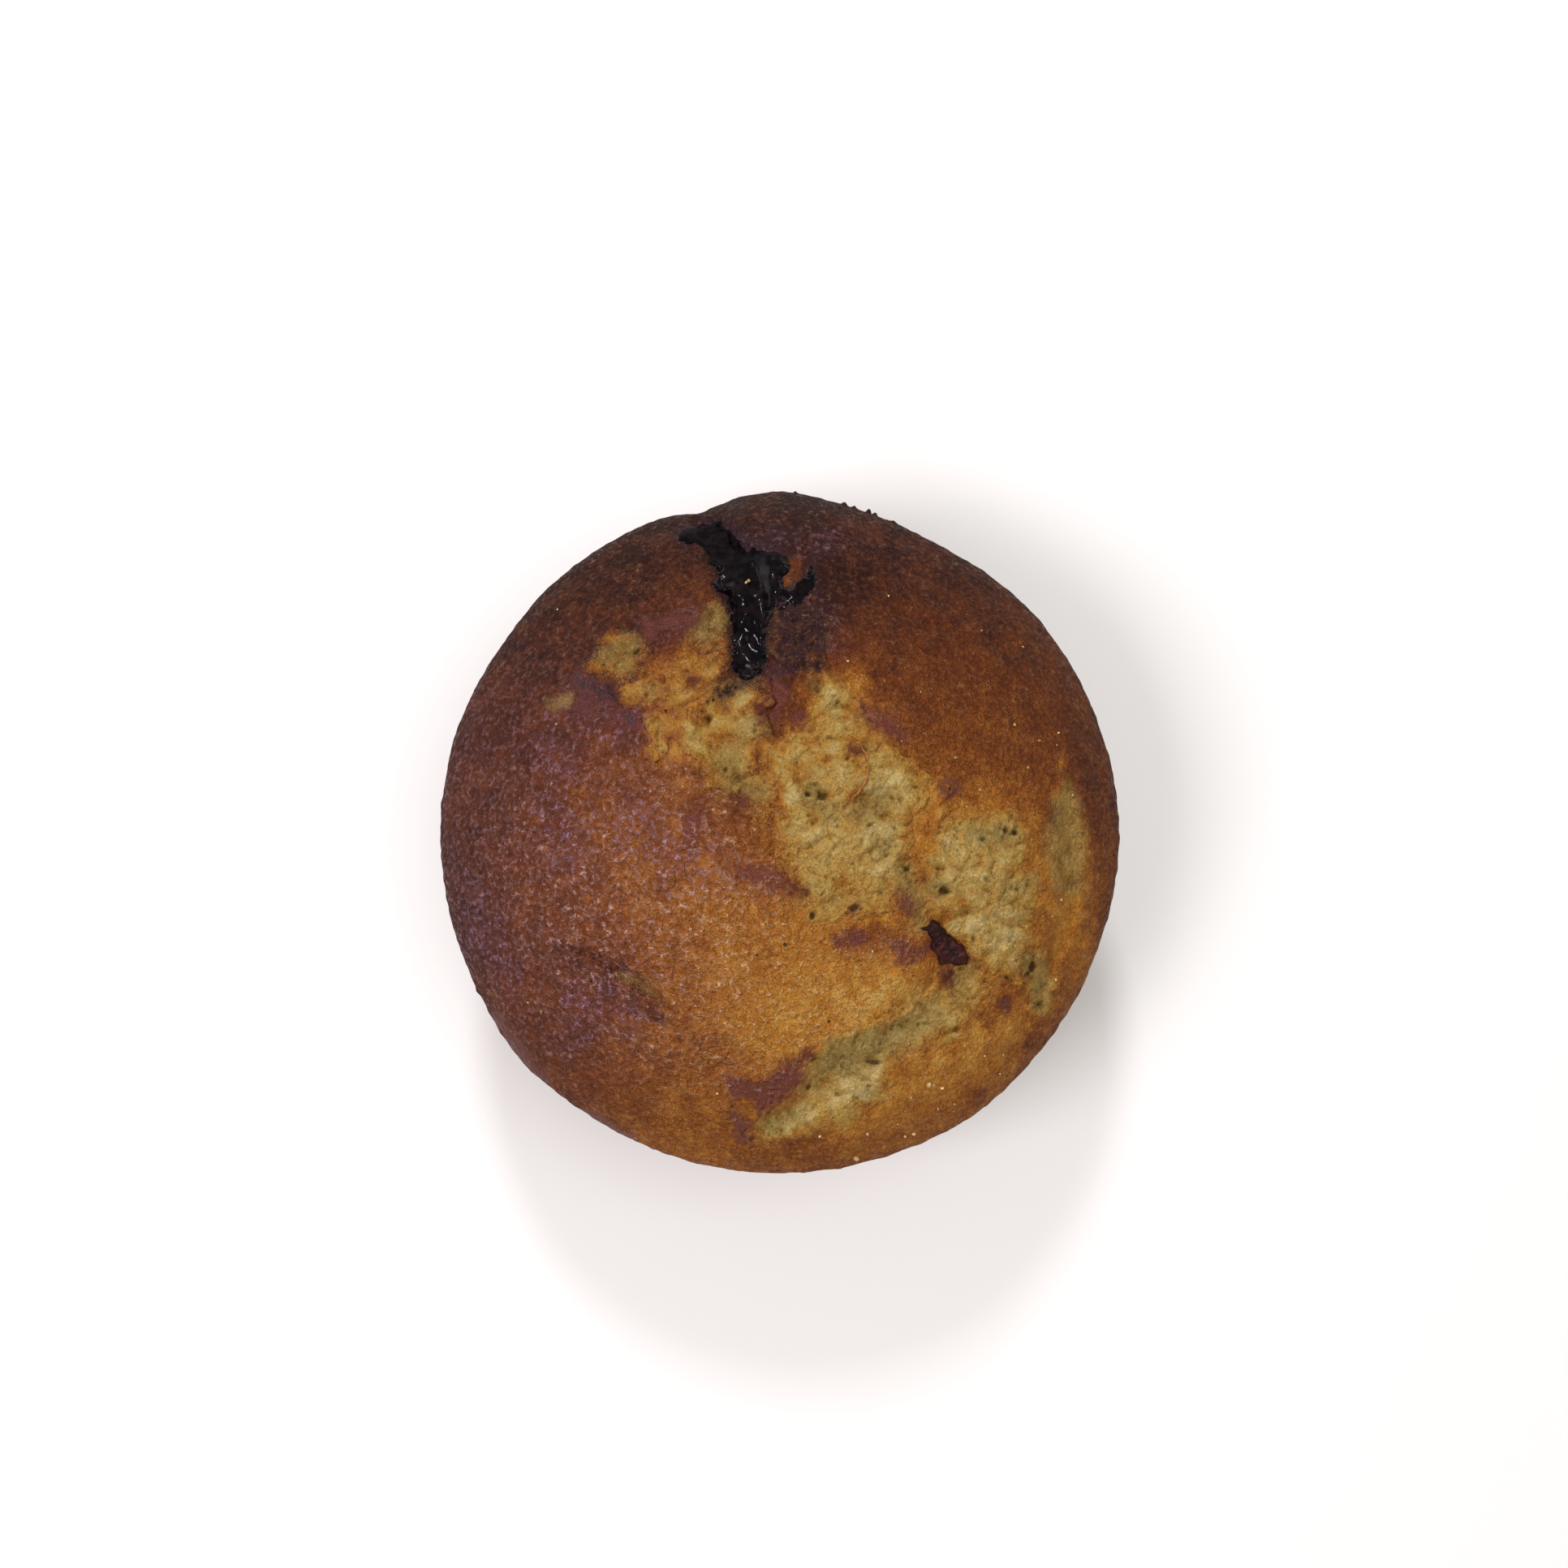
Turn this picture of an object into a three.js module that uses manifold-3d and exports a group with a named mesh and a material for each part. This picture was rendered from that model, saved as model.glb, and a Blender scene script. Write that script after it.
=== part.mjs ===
// A small round banana bread: a domed cake whose browned crust tore open as it rose. Melted
// chocolate lies in the tear at the top, and a shard of chocolate lower down on the right.
// Millimetres, +Z up. The origin is in the middle of the flat base, and +Y is the side with
// the melted chocolate.
import * as THREE from 'three';
import { mergeVertices } from 'three/addons/utils/BufferGeometryUtils.js';
import Module from 'manifold-3d';

// ---------------------------------------------------------------------------
// Driving dimensions
// ---------------------------------------------------------------------------

// The loaf, as it leaves a round tin: a dome on a wall that narrows to the base.
const RIM_RADIUS = 50.6;
const RIM_HEIGHT = 31;
const DOME_RISE = 21;
const DOME_FLATNESS = 2.3; // power that keeps the middle of the dome broad
const DOME_SHOULDER = 0.8; // power that turns the dome down at the rim
const BASE_RADIUS = 46.5;
const BASE_FILLET = 4.5;
const LIP_DEPTH = 1.8; // height of the crust's lip, which stands out over the wall
const LIP_UNDERCUT = 0.7;

// The rim isn't a true circle: [bearing, rise, spread], in degrees, mm and degrees.
const RIM_SWELLS = [
  [0, 0.3, 12],
  [62, -1.0, 15],
  [90, 0.9, 7],
  [104, -1.0, 4],
  [146, -0.4, 9],
  [222, 0.6, 9],
  [305, 0.35, 10],
];
const RIM_RAGGEDNESS = 0.12;
const WALL_UNEVENNESS = 0.3;

// How finely the loaf is faceted.
const DOME_RINGS = 27;
const RING_STEP = 6; // points that each ring has more than the one inside it
const WALL_ROWS = 3;
const FILLET_ROWS = 3;

// Cracks in the dome. A path is a list of [x, y, half width], and the crack is steepness times
// its half width deep.
const CRACKS = {
  chocolate: {
    steepness: 0.78,
    path: [[-12.5, 46.5, 2.6], [-9.5, 43, 3.8], [-6.5, 38, 4.6], [-5.2, 30, 4.4], [-5, 21, 3]],
  },
  left: {
    steepness: 0.5,
    path: [[-5, 21, 3], [-9.5, 14, 4.4], [-8, 6, 3.8], [-3, 0, 2.6], [0, -7, 1.2]],
  },
  lower: {
    steepness: 0.6,
    path: [
      [16.5, -5, 1.4], [22.5, -15.5, 3.4], [25, -20, 3.8], [19, -27, 3.8],
      [6, -36.5, 4.2], [-3, -43.5, 1.6],
    ],
  },
  right: {
    steepness: 0.45,
    path: [[41.5, 6, 1.6], [42, -4, 2.6], [41.5, -14, 2.4], [37, -26, 1.6]],
  },
  lowerLeft: {
    steepness: 0.5,
    path: [[-31, -17.5, 1.2], [-23, -21, 2], [-15, -26.5, 1.2]],
  },
  upperRight: {
    steepness: 0.35,
    path: [[9, 36, 2], [17, 31, 2.6], [27, 27, 1.6]],
  },
};

// Where the crust has torn off and the crumb shows, a little below the crust.
const TORN_DROP = 0.7;
const TORN_EDGE = 1.2; // width of the step down from the crust
const TORN_PATHS = [
  [[6, 17, 4], [8.5, 9, 7], [10.3, 1, 10], [9.5, -6, 7.5]],
  [[27, -2, 4.5], [30, -7, 6.5], [32, -15, 5]],
  [[-6, 18, 3], [-10.5, 11, 4], [-4, 3.5, 3]],
  [[-23, 24, 3.4], [-15, 21, 4.5], [-11, 28, 2.2]],
  [[27, -22, 2.5], [18, -28, 3.2], [7, -36.5, 3.6], [-2, -43, 1.6]],
];

// Rounded swellings of the dome: [x, y, radius along x, radius along y, rise].
const SWELLINGS = [
  [9, 4, 12, 15, 1.5],
  [29, -6, 9, 10, 1.2],
  [-18, -12, 24, 24, 1.4],
  [0, 46, 9, 6, 1.2],
  [25, -36, 12, 8, 0.7],
];

// Melted chocolate: strands that run into each other, each a path like a crack's.
const CHOCOLATE_STRANDS = [
  [[-14.6, 42.6, 0.7], [-12.2, 43.6, 1.6], [-9.5, 43, 2.2], [-7.5, 40.3, 2.1], [-5.8, 37.2, 2.3]],
  [[-7.8, 36, 2], [-4.5, 36.3, 2.8], [-1.6, 38, 2], [-0.3, 38.8, 0.8]],
  [[-5.8, 38, 2.4], [-5.2, 33.5, 2.9], [-5.3, 28, 2.4], [-5, 23, 1.6], [-4.9, 20.8, 0.7]],
  [[-4.6, 33.2, 2], [-0.8, 32.6, 1.6], [2.4, 34.4, 1.1], [4.7, 35.6, 0.6]],
];
const STRAND_FLATNESS = 0.55; // thickness of a strand against its width
const STRAND_LEAST_HALF_THICKNESS = 0.9;
const STRAND_LIFT = 0.3; // how far a strand's axis lies over the crack's floor, in half thicknesses
const STRAND_SIDES = 10;
const STRAND_STEP = 1.3;

// The chocolate shard, an angular splinter that lies along the lower crack.
const SHARD_MIDDLE = [22.8, -17.2];
const SHARD_BEARING = -41; // degrees, of its long side
const SHARD_LENGTH = 7.2;
const SHARD_WIDTH = 3.4;
const SHARD_THICKNESS = 2.6;
const SHARD_STANDS_OUT = 0.7;
const SHARD_CHAMFER = 0.4;

const GAP = 0.32; // clearance between the chocolate and the crumb around it

// ---------------------------------------------------------------------------
// The shape of the loaf as a function
// ---------------------------------------------------------------------------

const toRadians = THREE.MathUtils.degToRad;
const { clamp, lerp, smoothstep } = THREE.MathUtils;

/** Smallest turn between two bearings, in degrees. */
function turnBetween(a, b) {
  return Math.abs(THREE.MathUtils.euclideanModulo(a - b + 180, 360) - 180);
}

/** Radius of the rim at an angle in radians, without its ragged edge. */
function rimRadius(angle) {
  const bearing = THREE.MathUtils.radToDeg(angle);
  let radius = RIM_RADIUS;
  for (const [at, rise, spread] of RIM_SWELLS) {
    radius += rise * Math.exp(-((turnBetween(bearing, at) / spread) ** 2));
  }
  return radius;
}

/** How far the crust's ragged edge stands out past the rim's radius. */
function raggedEdge(angle) {
  return RIM_RAGGEDNESS * (Math.sin(31 * angle + 1) + Math.sin(47 * angle));
}

/** Height of the smooth dome at a share of the rim's radius, 0 in the middle and 1 at the rim. */
function domeHeight(share) {
  const fall = Math.max(0, 1 - share ** DOME_FLATNESS);
  return RIM_HEIGHT + DOME_RISE * fall ** DOME_SHOULDER;
}

/** A point's distance from a path and the path's half width, where the path is nearest. */
function nearestOnPath(path, x, y) {
  let nearest = { gap: Infinity, half: 1 };
  for (let i = 1; i < path.length; i++) {
    const [ax, ay, aHalf] = path[i - 1];
    const [bx, by, bHalf] = path[i];
    const along = ((x - ax) * (bx - ax) + (y - ay) * (by - ay)) / ((bx - ax) ** 2 + (by - ay) ** 2);
    const t = clamp(along, 0, 1);
    const gap = Math.hypot(x - lerp(ax, bx, t), y - lerp(ay, by, t));
    const half = lerp(aHalf, bHalf, t);
    if (gap / half < nearest.gap / nearest.half) nearest = { gap, half };
  }
  return nearest;
}

/** How far the dome lies above or below its smooth form at a point. */
function relief(x, y) {
  let height = 0;
  for (const [cx, cy, rx, ry, rise] of SWELLINGS) {
    height += rise * Math.exp(-(((x - cx) / rx) ** 2) - ((y - cy) / ry) ** 2);
  }
  let crack = 0;
  for (const { steepness, path } of Object.values(CRACKS)) {
    const { gap, half } = nearestOnPath(path, x, y);
    const inside = Math.max(0, 1 - (gap / half) ** 2);
    crack = Math.max(crack, steepness * half * inside ** 2);
  }
  let torn = 0;
  for (const path of TORN_PATHS) {
    const { gap, half } = nearestOnPath(path, x, y);
    torn = Math.max(torn, 1 - smoothstep(gap - half, -TORN_EDGE, TORN_EDGE));
  }
  return height - crack - TORN_DROP * torn;
}

/** Height of the loaf's top at a point inside the rim. */
function topHeight(x, y) {
  const share = Math.min(1, Math.hypot(x, y) / rimRadius(Math.atan2(y, x)));
  const fade = 1 - smoothstep(share, 0.93, 1); // the relief dies away at the rim
  return domeHeight(share) + fade * relief(x, y);
}

/** Unit normal of the loaf's top at a point. */
function topNormal(x, y) {
  const step = 1.5;
  const slopeX = (topHeight(x + step, y) - topHeight(x - step, y)) / (2 * step);
  const slopeY = (topHeight(x, y + step) - topHeight(x, y - step)) / (2 * step);
  return new THREE.Vector3(-slopeX, -slopeY, 1).normalize();
}

// ---------------------------------------------------------------------------
// Meshes
// ---------------------------------------------------------------------------

/** An indexed geometry from a list of Vector3 and a list of corner numbers. */
function geometryFrom(points, corners) {
  const geometry = new THREE.BufferGeometry().setFromPoints(points);
  geometry.setIndex(corners);
  return geometry;
}

/** Shares of the rim's radius at which the dome's rings lie evenly along its slope. */
function ringShares() {
  const samples = 400;
  const lengths = [0];
  for (let i = 1; i <= samples; i++) {
    const rise = domeHeight(i / samples) - domeHeight((i - 1) / samples);
    lengths.push(lengths[i - 1] + Math.hypot(RIM_RADIUS / samples, rise));
  }
  const shares = [];
  for (let ring = 0; ring <= DOME_RINGS; ring++) {
    const target = (lengths[samples] * ring) / DOME_RINGS;
    const above = Math.max(1, lengths.findIndex((length) => length >= target - 1e-9));
    const part = (target - lengths[above - 1]) / (lengths[above] - lengths[above - 1]);
    shares.push(clamp((above - 1 + part) / samples, 0, 1));
  }
  return shares;
}

/** Profile of the wall from under the rim to the base: [inset from the rim, height] rows. */
function wallProfile() {
  const rows = [[0.1, RIM_HEIGHT - 0.5 * LIP_DEPTH], [LIP_UNDERCUT, RIM_HEIGHT - LIP_DEPTH]];
  const top = rows[1];
  const bottom = [RIM_RADIUS - BASE_RADIUS, BASE_FILLET];
  for (let i = 1; i <= WALL_ROWS; i++) {
    rows.push([lerp(top[0], bottom[0], i / WALL_ROWS), lerp(top[1], bottom[1], i / WALL_ROWS)]);
  }
  for (let i = 1; i <= FILLET_ROWS; i++) {
    const turn = (Math.PI / 2) * (i / FILLET_ROWS);
    rows.push([
      bottom[0] + BASE_FILLET * (1 - Math.cos(turn)),
      BASE_FILLET * (1 - Math.sin(turn)),
    ]);
  }
  return rows;
}

/** The whole loaf as one closed geometry: a web of rings, the wall's rows and the base. */
function loafGeometry() {
  const points = [new THREE.Vector3(0, 0, topHeight(0, 0))];
  const corners = [];
  const shares = ringShares();
  let inner = 0;
  for (let ring = 1; ring <= DOME_RINGS; ring++) {
    const start = points.length;
    const count = ring * RING_STEP;
    for (let i = 0; i < count; i++) {
      const angle = (2 * Math.PI * i) / count;
      const radius = shares[ring] * rimRadius(angle);
      const height = topHeight(radius * Math.cos(angle), radius * Math.sin(angle));
      const reach = ring === DOME_RINGS ? radius + raggedEdge(angle) : radius;
      points.push(new THREE.Vector3(reach * Math.cos(angle), reach * Math.sin(angle), height));
    }
    const innerCount = Math.max(1, (ring - 1) * RING_STEP);
    for (let side = 0; side < RING_STEP; side++) {
      for (let i = 0; i < ring; i++) {
        const outA = start + side * ring + i;
        const outB = start + ((side * ring + i + 1) % count);
        const inA = inner + ((side * (ring - 1) + i) % innerCount);
        corners.push(outA, outB, inA);
        if (i < ring - 1) {
          const inB = inner + ((side * (ring - 1) + i + 1) % innerCount);
          corners.push(outB, inB, inA);
        }
      }
    }
    inner = start;
  }
  const count = DOME_RINGS * RING_STEP;
  for (const [inset, height] of wallProfile()) {
    const start = points.length;
    const share = height / RIM_HEIGHT;
    for (let i = 0; i < count; i++) {
      const angle = (2 * Math.PI * i) / count;
      const swell = (rimRadius(angle) - RIM_RADIUS) * share;
      const wave = WALL_UNEVENNESS * Math.sin(5 * angle + 1) * share * (1 - share);
      const radius = RIM_RADIUS - inset + swell + wave;
      points.push(new THREE.Vector3(radius * Math.cos(angle), radius * Math.sin(angle), height));
      const next = (i + 1) % count;
      corners.push(start - count + i, start + i, start + next);
      corners.push(start - count + i, start + next, start - count + next);
    }
  }
  const foot = points.length - count;
  points.push(new THREE.Vector3(0, 0, 0));
  for (let i = 0; i < count; i++) {
    corners.push(points.length - 1, foot + ((i + 1) % count), foot + i);
  }
  return geometryFrom(points, corners);
}

/** A strand of melted chocolate, grown all round by a margin: a loft with pointed ends. */
function strandGeometry(stations, margin) {
  // The half width rides along as the curve's third coordinate.
  const route = new THREE.CatmullRomCurve3(stations.map((station) => new THREE.Vector3(...station)));
  const steps = Math.ceil(route.getLength() / STRAND_STEP);
  const points = [];
  const corners = [];
  const place = (t) => {
    const { x, y, z: halfWidth } = route.getPoint(t);
    const halfThickness = Math.max(STRAND_LEAST_HALF_THICKNESS, STRAND_FLATNESS * halfWidth);
    const height = topHeight(x, y) + STRAND_LIFT * halfThickness;
    return { centre: new THREE.Vector3(x, y, height), halfWidth, halfThickness };
  };
  const heading = (t) => route.getTangent(t).setZ(0).normalize();
  const endPoint = (t, way) => {
    const { centre, halfWidth } = place(t);
    return centre.addScaledVector(heading(t), way * (0.5 * halfWidth + margin));
  };
  points.push(endPoint(0, -1));
  for (let step = 0; step <= steps; step++) {
    const { centre, halfWidth, halfThickness } = place(step / steps);
    const forward = heading(step / steps);
    const across = new THREE.Vector3(-forward.y, forward.x, 0);
    for (let side = 0; side < STRAND_SIDES; side++) {
      const turn = (2 * Math.PI * side) / STRAND_SIDES;
      const point = centre.clone().addScaledVector(across, (halfWidth + margin) * Math.cos(turn));
      point.z += (halfThickness + margin) * Math.sin(turn);
      points.push(point);
    }
  }
  points.push(endPoint(1, 1));
  const last = points.length - 1;
  for (let side = 0; side < STRAND_SIDES; side++) {
    const next = (side + 1) % STRAND_SIDES;
    corners.push(0, 1 + next, 1 + side);
    for (let step = 0; step < steps; step++) {
      const here = 1 + step * STRAND_SIDES;
      const there = here + STRAND_SIDES;
      corners.push(here + side, here + next, there + next);
      corners.push(here + side, there + next, there + side);
    }
    corners.push(last, last - STRAND_SIDES + side, last - STRAND_SIDES + next);
  }
  return geometryFrom(points, corners);
}

/** The chocolate shard, grown all round by a margin, lying along the loaf's surface. */
function shardGeometry(margin) {
  const length = SHARD_LENGTH / 2 + margin;
  const width = SHARD_WIDTH / 2 + margin;
  const outline = new THREE.Shape();
  outline.moveTo(-length, 0.25 * width);
  outline.lineTo(-0.55 * length, -0.75 * width);
  outline.lineTo(0.35 * length, -width);
  outline.lineTo(length, -0.35 * width);
  outline.lineTo(0.7 * length, 0.8 * width);
  outline.lineTo(-0.2 * length, width);
  outline.closePath();
  const geometry = new THREE.ExtrudeGeometry(outline, {
    depth: SHARD_THICKNESS + 2 * margin - 2 * SHARD_CHAMFER,
    bevelSize: SHARD_CHAMFER,
    bevelThickness: SHARD_CHAMFER,
    bevelOffset: -SHARD_CHAMFER,
    bevelSegments: 1,
  });
  const [x, y] = SHARD_MIDDLE;
  const normal = topNormal(x, y);
  geometry.translate(0, 0, SHARD_CHAMFER - SHARD_THICKNESS - margin);
  geometry.rotateZ(toRadians(SHARD_BEARING));
  const lean = new THREE.Quaternion().setFromUnitVectors(new THREE.Vector3(0, 0, 1), normal);
  geometry.applyQuaternion(lean);
  geometry.translate(x, y, topHeight(x, y));
  geometry.translate(...normal.multiplyScalar(SHARD_STANDS_OUT).toArray());
  return geometry;
}

// ---------------------------------------------------------------------------
// Joining and cutting
// ---------------------------------------------------------------------------

const wasm = await Module();
wasm.setup();

/** A closed geometry as a solid that can be joined and cut. */
function solidOf(geometry) {
  const plain = geometry.clone();
  plain.deleteAttribute('normal');
  plain.deleteAttribute('uv');
  const merged = mergeVertices(plain, 1e-4);
  return new wasm.Manifold(
    new wasm.Mesh({
      numProp: 3,
      vertProperties: merged.attributes.position.array,
      triVerts: new Uint32Array(merged.index.array),
    }),
  );
}

/** The geometry of a solid. */
function geometryOf(solid) {
  const { vertProperties, triVerts } = solid.getMesh();
  const geometry = new THREE.BufferGeometry();
  geometry.setAttribute('position', new THREE.BufferAttribute(vertProperties, 3));
  geometry.setIndex(new THREE.BufferAttribute(triVerts, 1));
  geometry.computeVertexNormals();
  return geometry;
}

/** All the strands of melted chocolate as one solid. */
function chocolateSolid(margin) {
  const strands = CHOCOLATE_STRANDS.map((stations) => solidOf(strandGeometry(stations, margin)));
  return strands.reduce((pool, strand) => pool.add(strand));
}

// ---------------------------------------------------------------------------
// The object
// ---------------------------------------------------------------------------

/** A named sub-part with its own material. */
function subPart(name, solid, color, roughness) {
  const material = new THREE.MeshStandardMaterial({ color, roughness, metalness: 0 });
  const mesh = new THREE.Mesh(geometryOf(solid), material);
  mesh.name = name;
  return mesh;
}

const loaf = solidOf(loafGeometry())
  .subtract(chocolateSolid(GAP))
  .subtract(solidOf(shardGeometry(GAP)));

const bananaBread = new THREE.Group();
bananaBread.add(subPart('bread', loaf, 0x8a5a34, 0.75));
bananaBread.add(subPart('chocolate_pool', chocolateSolid(0), 0x1e1618, 0.25));
bananaBread.add(subPart('chocolate_shard', solidOf(shardGeometry(0)), 0x45261c, 0.5));

export default bananaBread;
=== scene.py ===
"""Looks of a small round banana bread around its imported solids.

The cake is one dense mesh: a domed top with a browned crust that is torn open over pale crumb,
a wall as it left its tin, and a flat base. Melted chocolate lies in the tear at the back (+Y),
and a splinter of set chocolate in the lower tear. Shapes are worked out in millimetres in the
frame of the solids, and written to the meshes in metres.
"""

import itertools
import logging
import math
from dataclasses import asdict, dataclass, field, fields
from enum import Enum

import bmesh
import bpy
import numpy as np
from mathutils import Matrix, Vector


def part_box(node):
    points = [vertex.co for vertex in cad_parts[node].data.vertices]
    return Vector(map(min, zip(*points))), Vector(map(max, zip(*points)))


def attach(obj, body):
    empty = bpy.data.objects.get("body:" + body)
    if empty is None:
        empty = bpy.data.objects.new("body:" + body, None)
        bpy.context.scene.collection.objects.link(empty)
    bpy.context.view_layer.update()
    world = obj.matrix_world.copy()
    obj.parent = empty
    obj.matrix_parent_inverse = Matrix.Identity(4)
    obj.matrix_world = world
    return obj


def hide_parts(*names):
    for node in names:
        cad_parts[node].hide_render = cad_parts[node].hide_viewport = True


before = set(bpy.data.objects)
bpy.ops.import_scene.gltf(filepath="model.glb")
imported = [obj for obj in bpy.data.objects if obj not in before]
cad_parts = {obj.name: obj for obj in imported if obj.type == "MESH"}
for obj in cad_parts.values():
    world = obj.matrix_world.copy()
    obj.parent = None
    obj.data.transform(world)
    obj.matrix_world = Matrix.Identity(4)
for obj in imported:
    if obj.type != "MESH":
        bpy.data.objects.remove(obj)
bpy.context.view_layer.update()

LOG = logging.getLogger("banana_bread")
MM = 0.001
BODY = "root"
Array = np.ndarray
Colour = tuple[float, float, float, float]
Pair = tuple[float, float]
Triples = tuple[tuple[float, float, float], ...]
Socket = bpy.types.NodeSocket


class Mask(str, Enum):
    """The named values that every point of the cake carries for its shape and its colour."""

    DONENESS = "doneness"  # 0 is pale crumb, 1 is the darkest crust
    TORN = "torn"  # 1 where crumb shows
    CARAMEL = "caramel"  # dark sticky patches of sugar
    STAIN = "stain"  # crumb and crust soaked with chocolate
    OLIVE = "olive"  # grey-green crumb: moist, and painted shade in its hollows
    BLOOM = "cool_sheen"  # painted cool sheen of the crust on the left, where a cool light is reflected
    SHEEN = "sheen"  # how strongly the crust's grains shine: painted highlights and specular
    SIDE = "side"  # the wall and the base
    CALM = "calm"  # 1 where no relief is wanted
    PORE_SHADE = "pore_shade"  # worked out with the relief: painted shade, 1 in the bottoms of pores and of the wall's pits, less in the crumb's crevices


# ---- Small tools ----


def tint(red: int, green: int, blue: int) -> Colour:
    """Turns a colour as a screen shows it into the linear colour that a shader takes.

    Args:
        red: Red, 0 to 255.
        green: Green, 0 to 255.
        blue: Blue, 0 to 255.

    Returns:
        Linear red, green and blue, with alpha 1.
    """
    shares = np.array([red, green, blue]) / 255.0
    linear = np.where(shares <= 0.04045, shares / 12.92, ((shares + 0.055) / 1.055) ** 2.4)
    return (float(linear[0]), float(linear[1]), float(linear[2]), 1.0)


def soft(value: Array, low: float, high: float | Array) -> Array:
    """Rises smoothly from 0 at low to 1 at high.

    Args:
        value: Values to weigh.
        low: Where the rise starts. It may be above high, and the result then falls.
        high: Where the rise ends.

    Returns:
        Weights from 0 to 1.
    """
    share = np.clip((value - low) / (high - low), 0.0, 1.0)
    return share * share * (3.0 - 2.0 * share)


def turned(x: Array, y: Array, turn: float) -> tuple[Array, Array]:
    """Coordinates along and across a direction that is turned by an angle in radians."""
    return x * math.cos(turn) + y * math.sin(turn), y * math.cos(turn) - x * math.sin(turn)


def nearest_on_leg(x: Array, y: Array, start: Pair, end: Pair) -> tuple[Array, Array]:
    """Measures points against a straight leg.

    Args:
        x: X of the points.
        y: Y of the points.
        start: Where the leg starts.
        end: Where it ends.

    Returns:
        Each point's distance from the leg, and the share of the leg at which it is nearest.
    """
    (ax, ay), (bx, by) = start, end
    along = ((x - ax) * (bx - ax) + (y - ay) * (by - ay)) / ((bx - ax) ** 2 + (by - ay) ** 2)
    share = np.clip(along, 0.0, 1.0)
    return np.hypot(x - (ax + share * (bx - ax)), y - (ay + share * (by - ay))), share


def with_bumps(base: Array, angle: Array, bumps: Triples) -> Array:
    """Adds rounded bumps to a measure that runs round the rim.

    Args:
        base: The measure at each angle.
        angle: The angles, in radians.
        bumps: Bearing in degrees, height, and spread in degrees of each bump.

    Returns:
        The measure with the bumps on it.
    """
    bearing = np.degrees(angle)
    for middle, rise, spread in bumps:
        turn = np.abs((bearing - middle + 180) % 360 - 180)
        base = base + rise * np.exp(-((turn / spread) ** 2))
    return base


class Grain:
    """Seeded gradient noise, the source of every uneven edge and field in this file."""

    CELLS = 256

    def __init__(self, seed: int) -> None:
        """Draws the noise's table.

        Args:
            seed: Seed of the draw.
        """
        draw = np.random.default_rng(seed)
        self._order = draw.permutation(self.CELLS)
        arrows = draw.normal(size=(self.CELLS, 3))
        self._arrows = arrows / np.linalg.norm(arrows, axis=1, keepdims=True)

    def at(self, x: Array, y: Array, z: Array | float, size: float) -> Array:
        """Noise of one size.

        Args:
            x: First coordinates.
            y: Second coordinates.
            z: Third coordinates, or one for all.
            size: Size of the noise's cells, in the coordinates' own unit.

        Returns:
            Values that lie mostly between -1 and 1.
        """
        points = np.stack(np.broadcast_arrays(x, y, z), axis=-1) / size
        cell = np.floor(points).astype(np.int64)
        part = points - cell
        fade = part**3 * (part * (part * 6 - 15) + 10)
        total = np.zeros(points.shape[:-1])
        for corner in itertools.product((0, 1), repeat=3):
            spot = (cell + corner) % self.CELLS
            row = self._order[spot[..., 0]]
            row = self._order[(row + spot[..., 1]) % self.CELLS]
            row = self._order[(row + spot[..., 2]) % self.CELLS]
            pull = np.sum(self._arrows[row] * (part - corner), axis=-1)
            weight = np.prod(np.where(corner, fade, 1 - fade), axis=-1)
            total += weight * pull
        return total * 1.7

    def layered(self, x: Array, y: Array, z: Array | float, size: float, layers: int) -> Array:
        """Noise with finer noise on it, each layer half the size and half as strong.

        Args:
            x: First coordinates.
            y: Second coordinates.
            z: Third coordinates, or one for all.
            size: Size of the coarsest cells.
            layers: How many sizes are added up.

        Returns:
            Values that lie mostly between -1 and 1.
        """
        total = np.zeros(np.shape(x))
        for layer in range(layers):
            share = 0.5**layer
            total += share * self.at(x, y, z + 17.3 * layer, size * share)
        return total


@dataclass(frozen=True)
class Trail:
    """A route over the dome, as stations of x, y and half width."""

    stations: Triples

    def nearest(self, x: Array, y: Array) -> tuple[Array, Array]:
        """Measures points against the route.

        Args:
            x: X of the points.
            y: Y of the points.

        Returns:
            Each point's distance from the route, and the route's half width there.
        """
        if len(self.stations) == 1:
            [(cx, cy, half)] = self.stations
            return np.hypot(x - cx, y - cy), np.full(np.shape(x), half)
        best_gap = np.full(np.shape(x), np.inf)
        best_half = np.ones(np.shape(x))
        for (*start, start_half), (*end, end_half) in itertools.pairwise(self.stations):
            gap, share = nearest_on_leg(x, y, start, end)
            half = start_half + share * (end_half - start_half)
            closer = gap / half < best_gap / best_half
            best_gap = np.where(closer, gap, best_gap)
            best_half = np.where(closer, half, best_half)
        return best_gap, best_half

    def inside(self, x: Array, y: Array) -> Array:
        """How far points lie inside the route's edge; negative outside it."""
        gap, half = self.nearest(x, y)
        return half - gap


def routes(*every: Triples) -> tuple[Trail, ...]:
    """Makes several routes, each from its own stations."""
    return tuple(Trail(stations) for stations in every)


@dataclass(frozen=True)
class Crack(Trail):
    """A route along which the dome has opened; steepness times the half width is its depth."""

    steepness: float = 0.5

    def depth(self, x: Array, y: Array) -> Array:
        """Depth of the crack below the dome.

        Args:
            x: X of the points.
            y: Y of the points.

        Returns:
            Depth at each point.
        """
        gap, half = self.nearest(x, y)
        inside = np.clip(1.0 - (gap / half) ** 2, 0.0, 1.0)
        return self.steepness * half * inside**2


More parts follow.
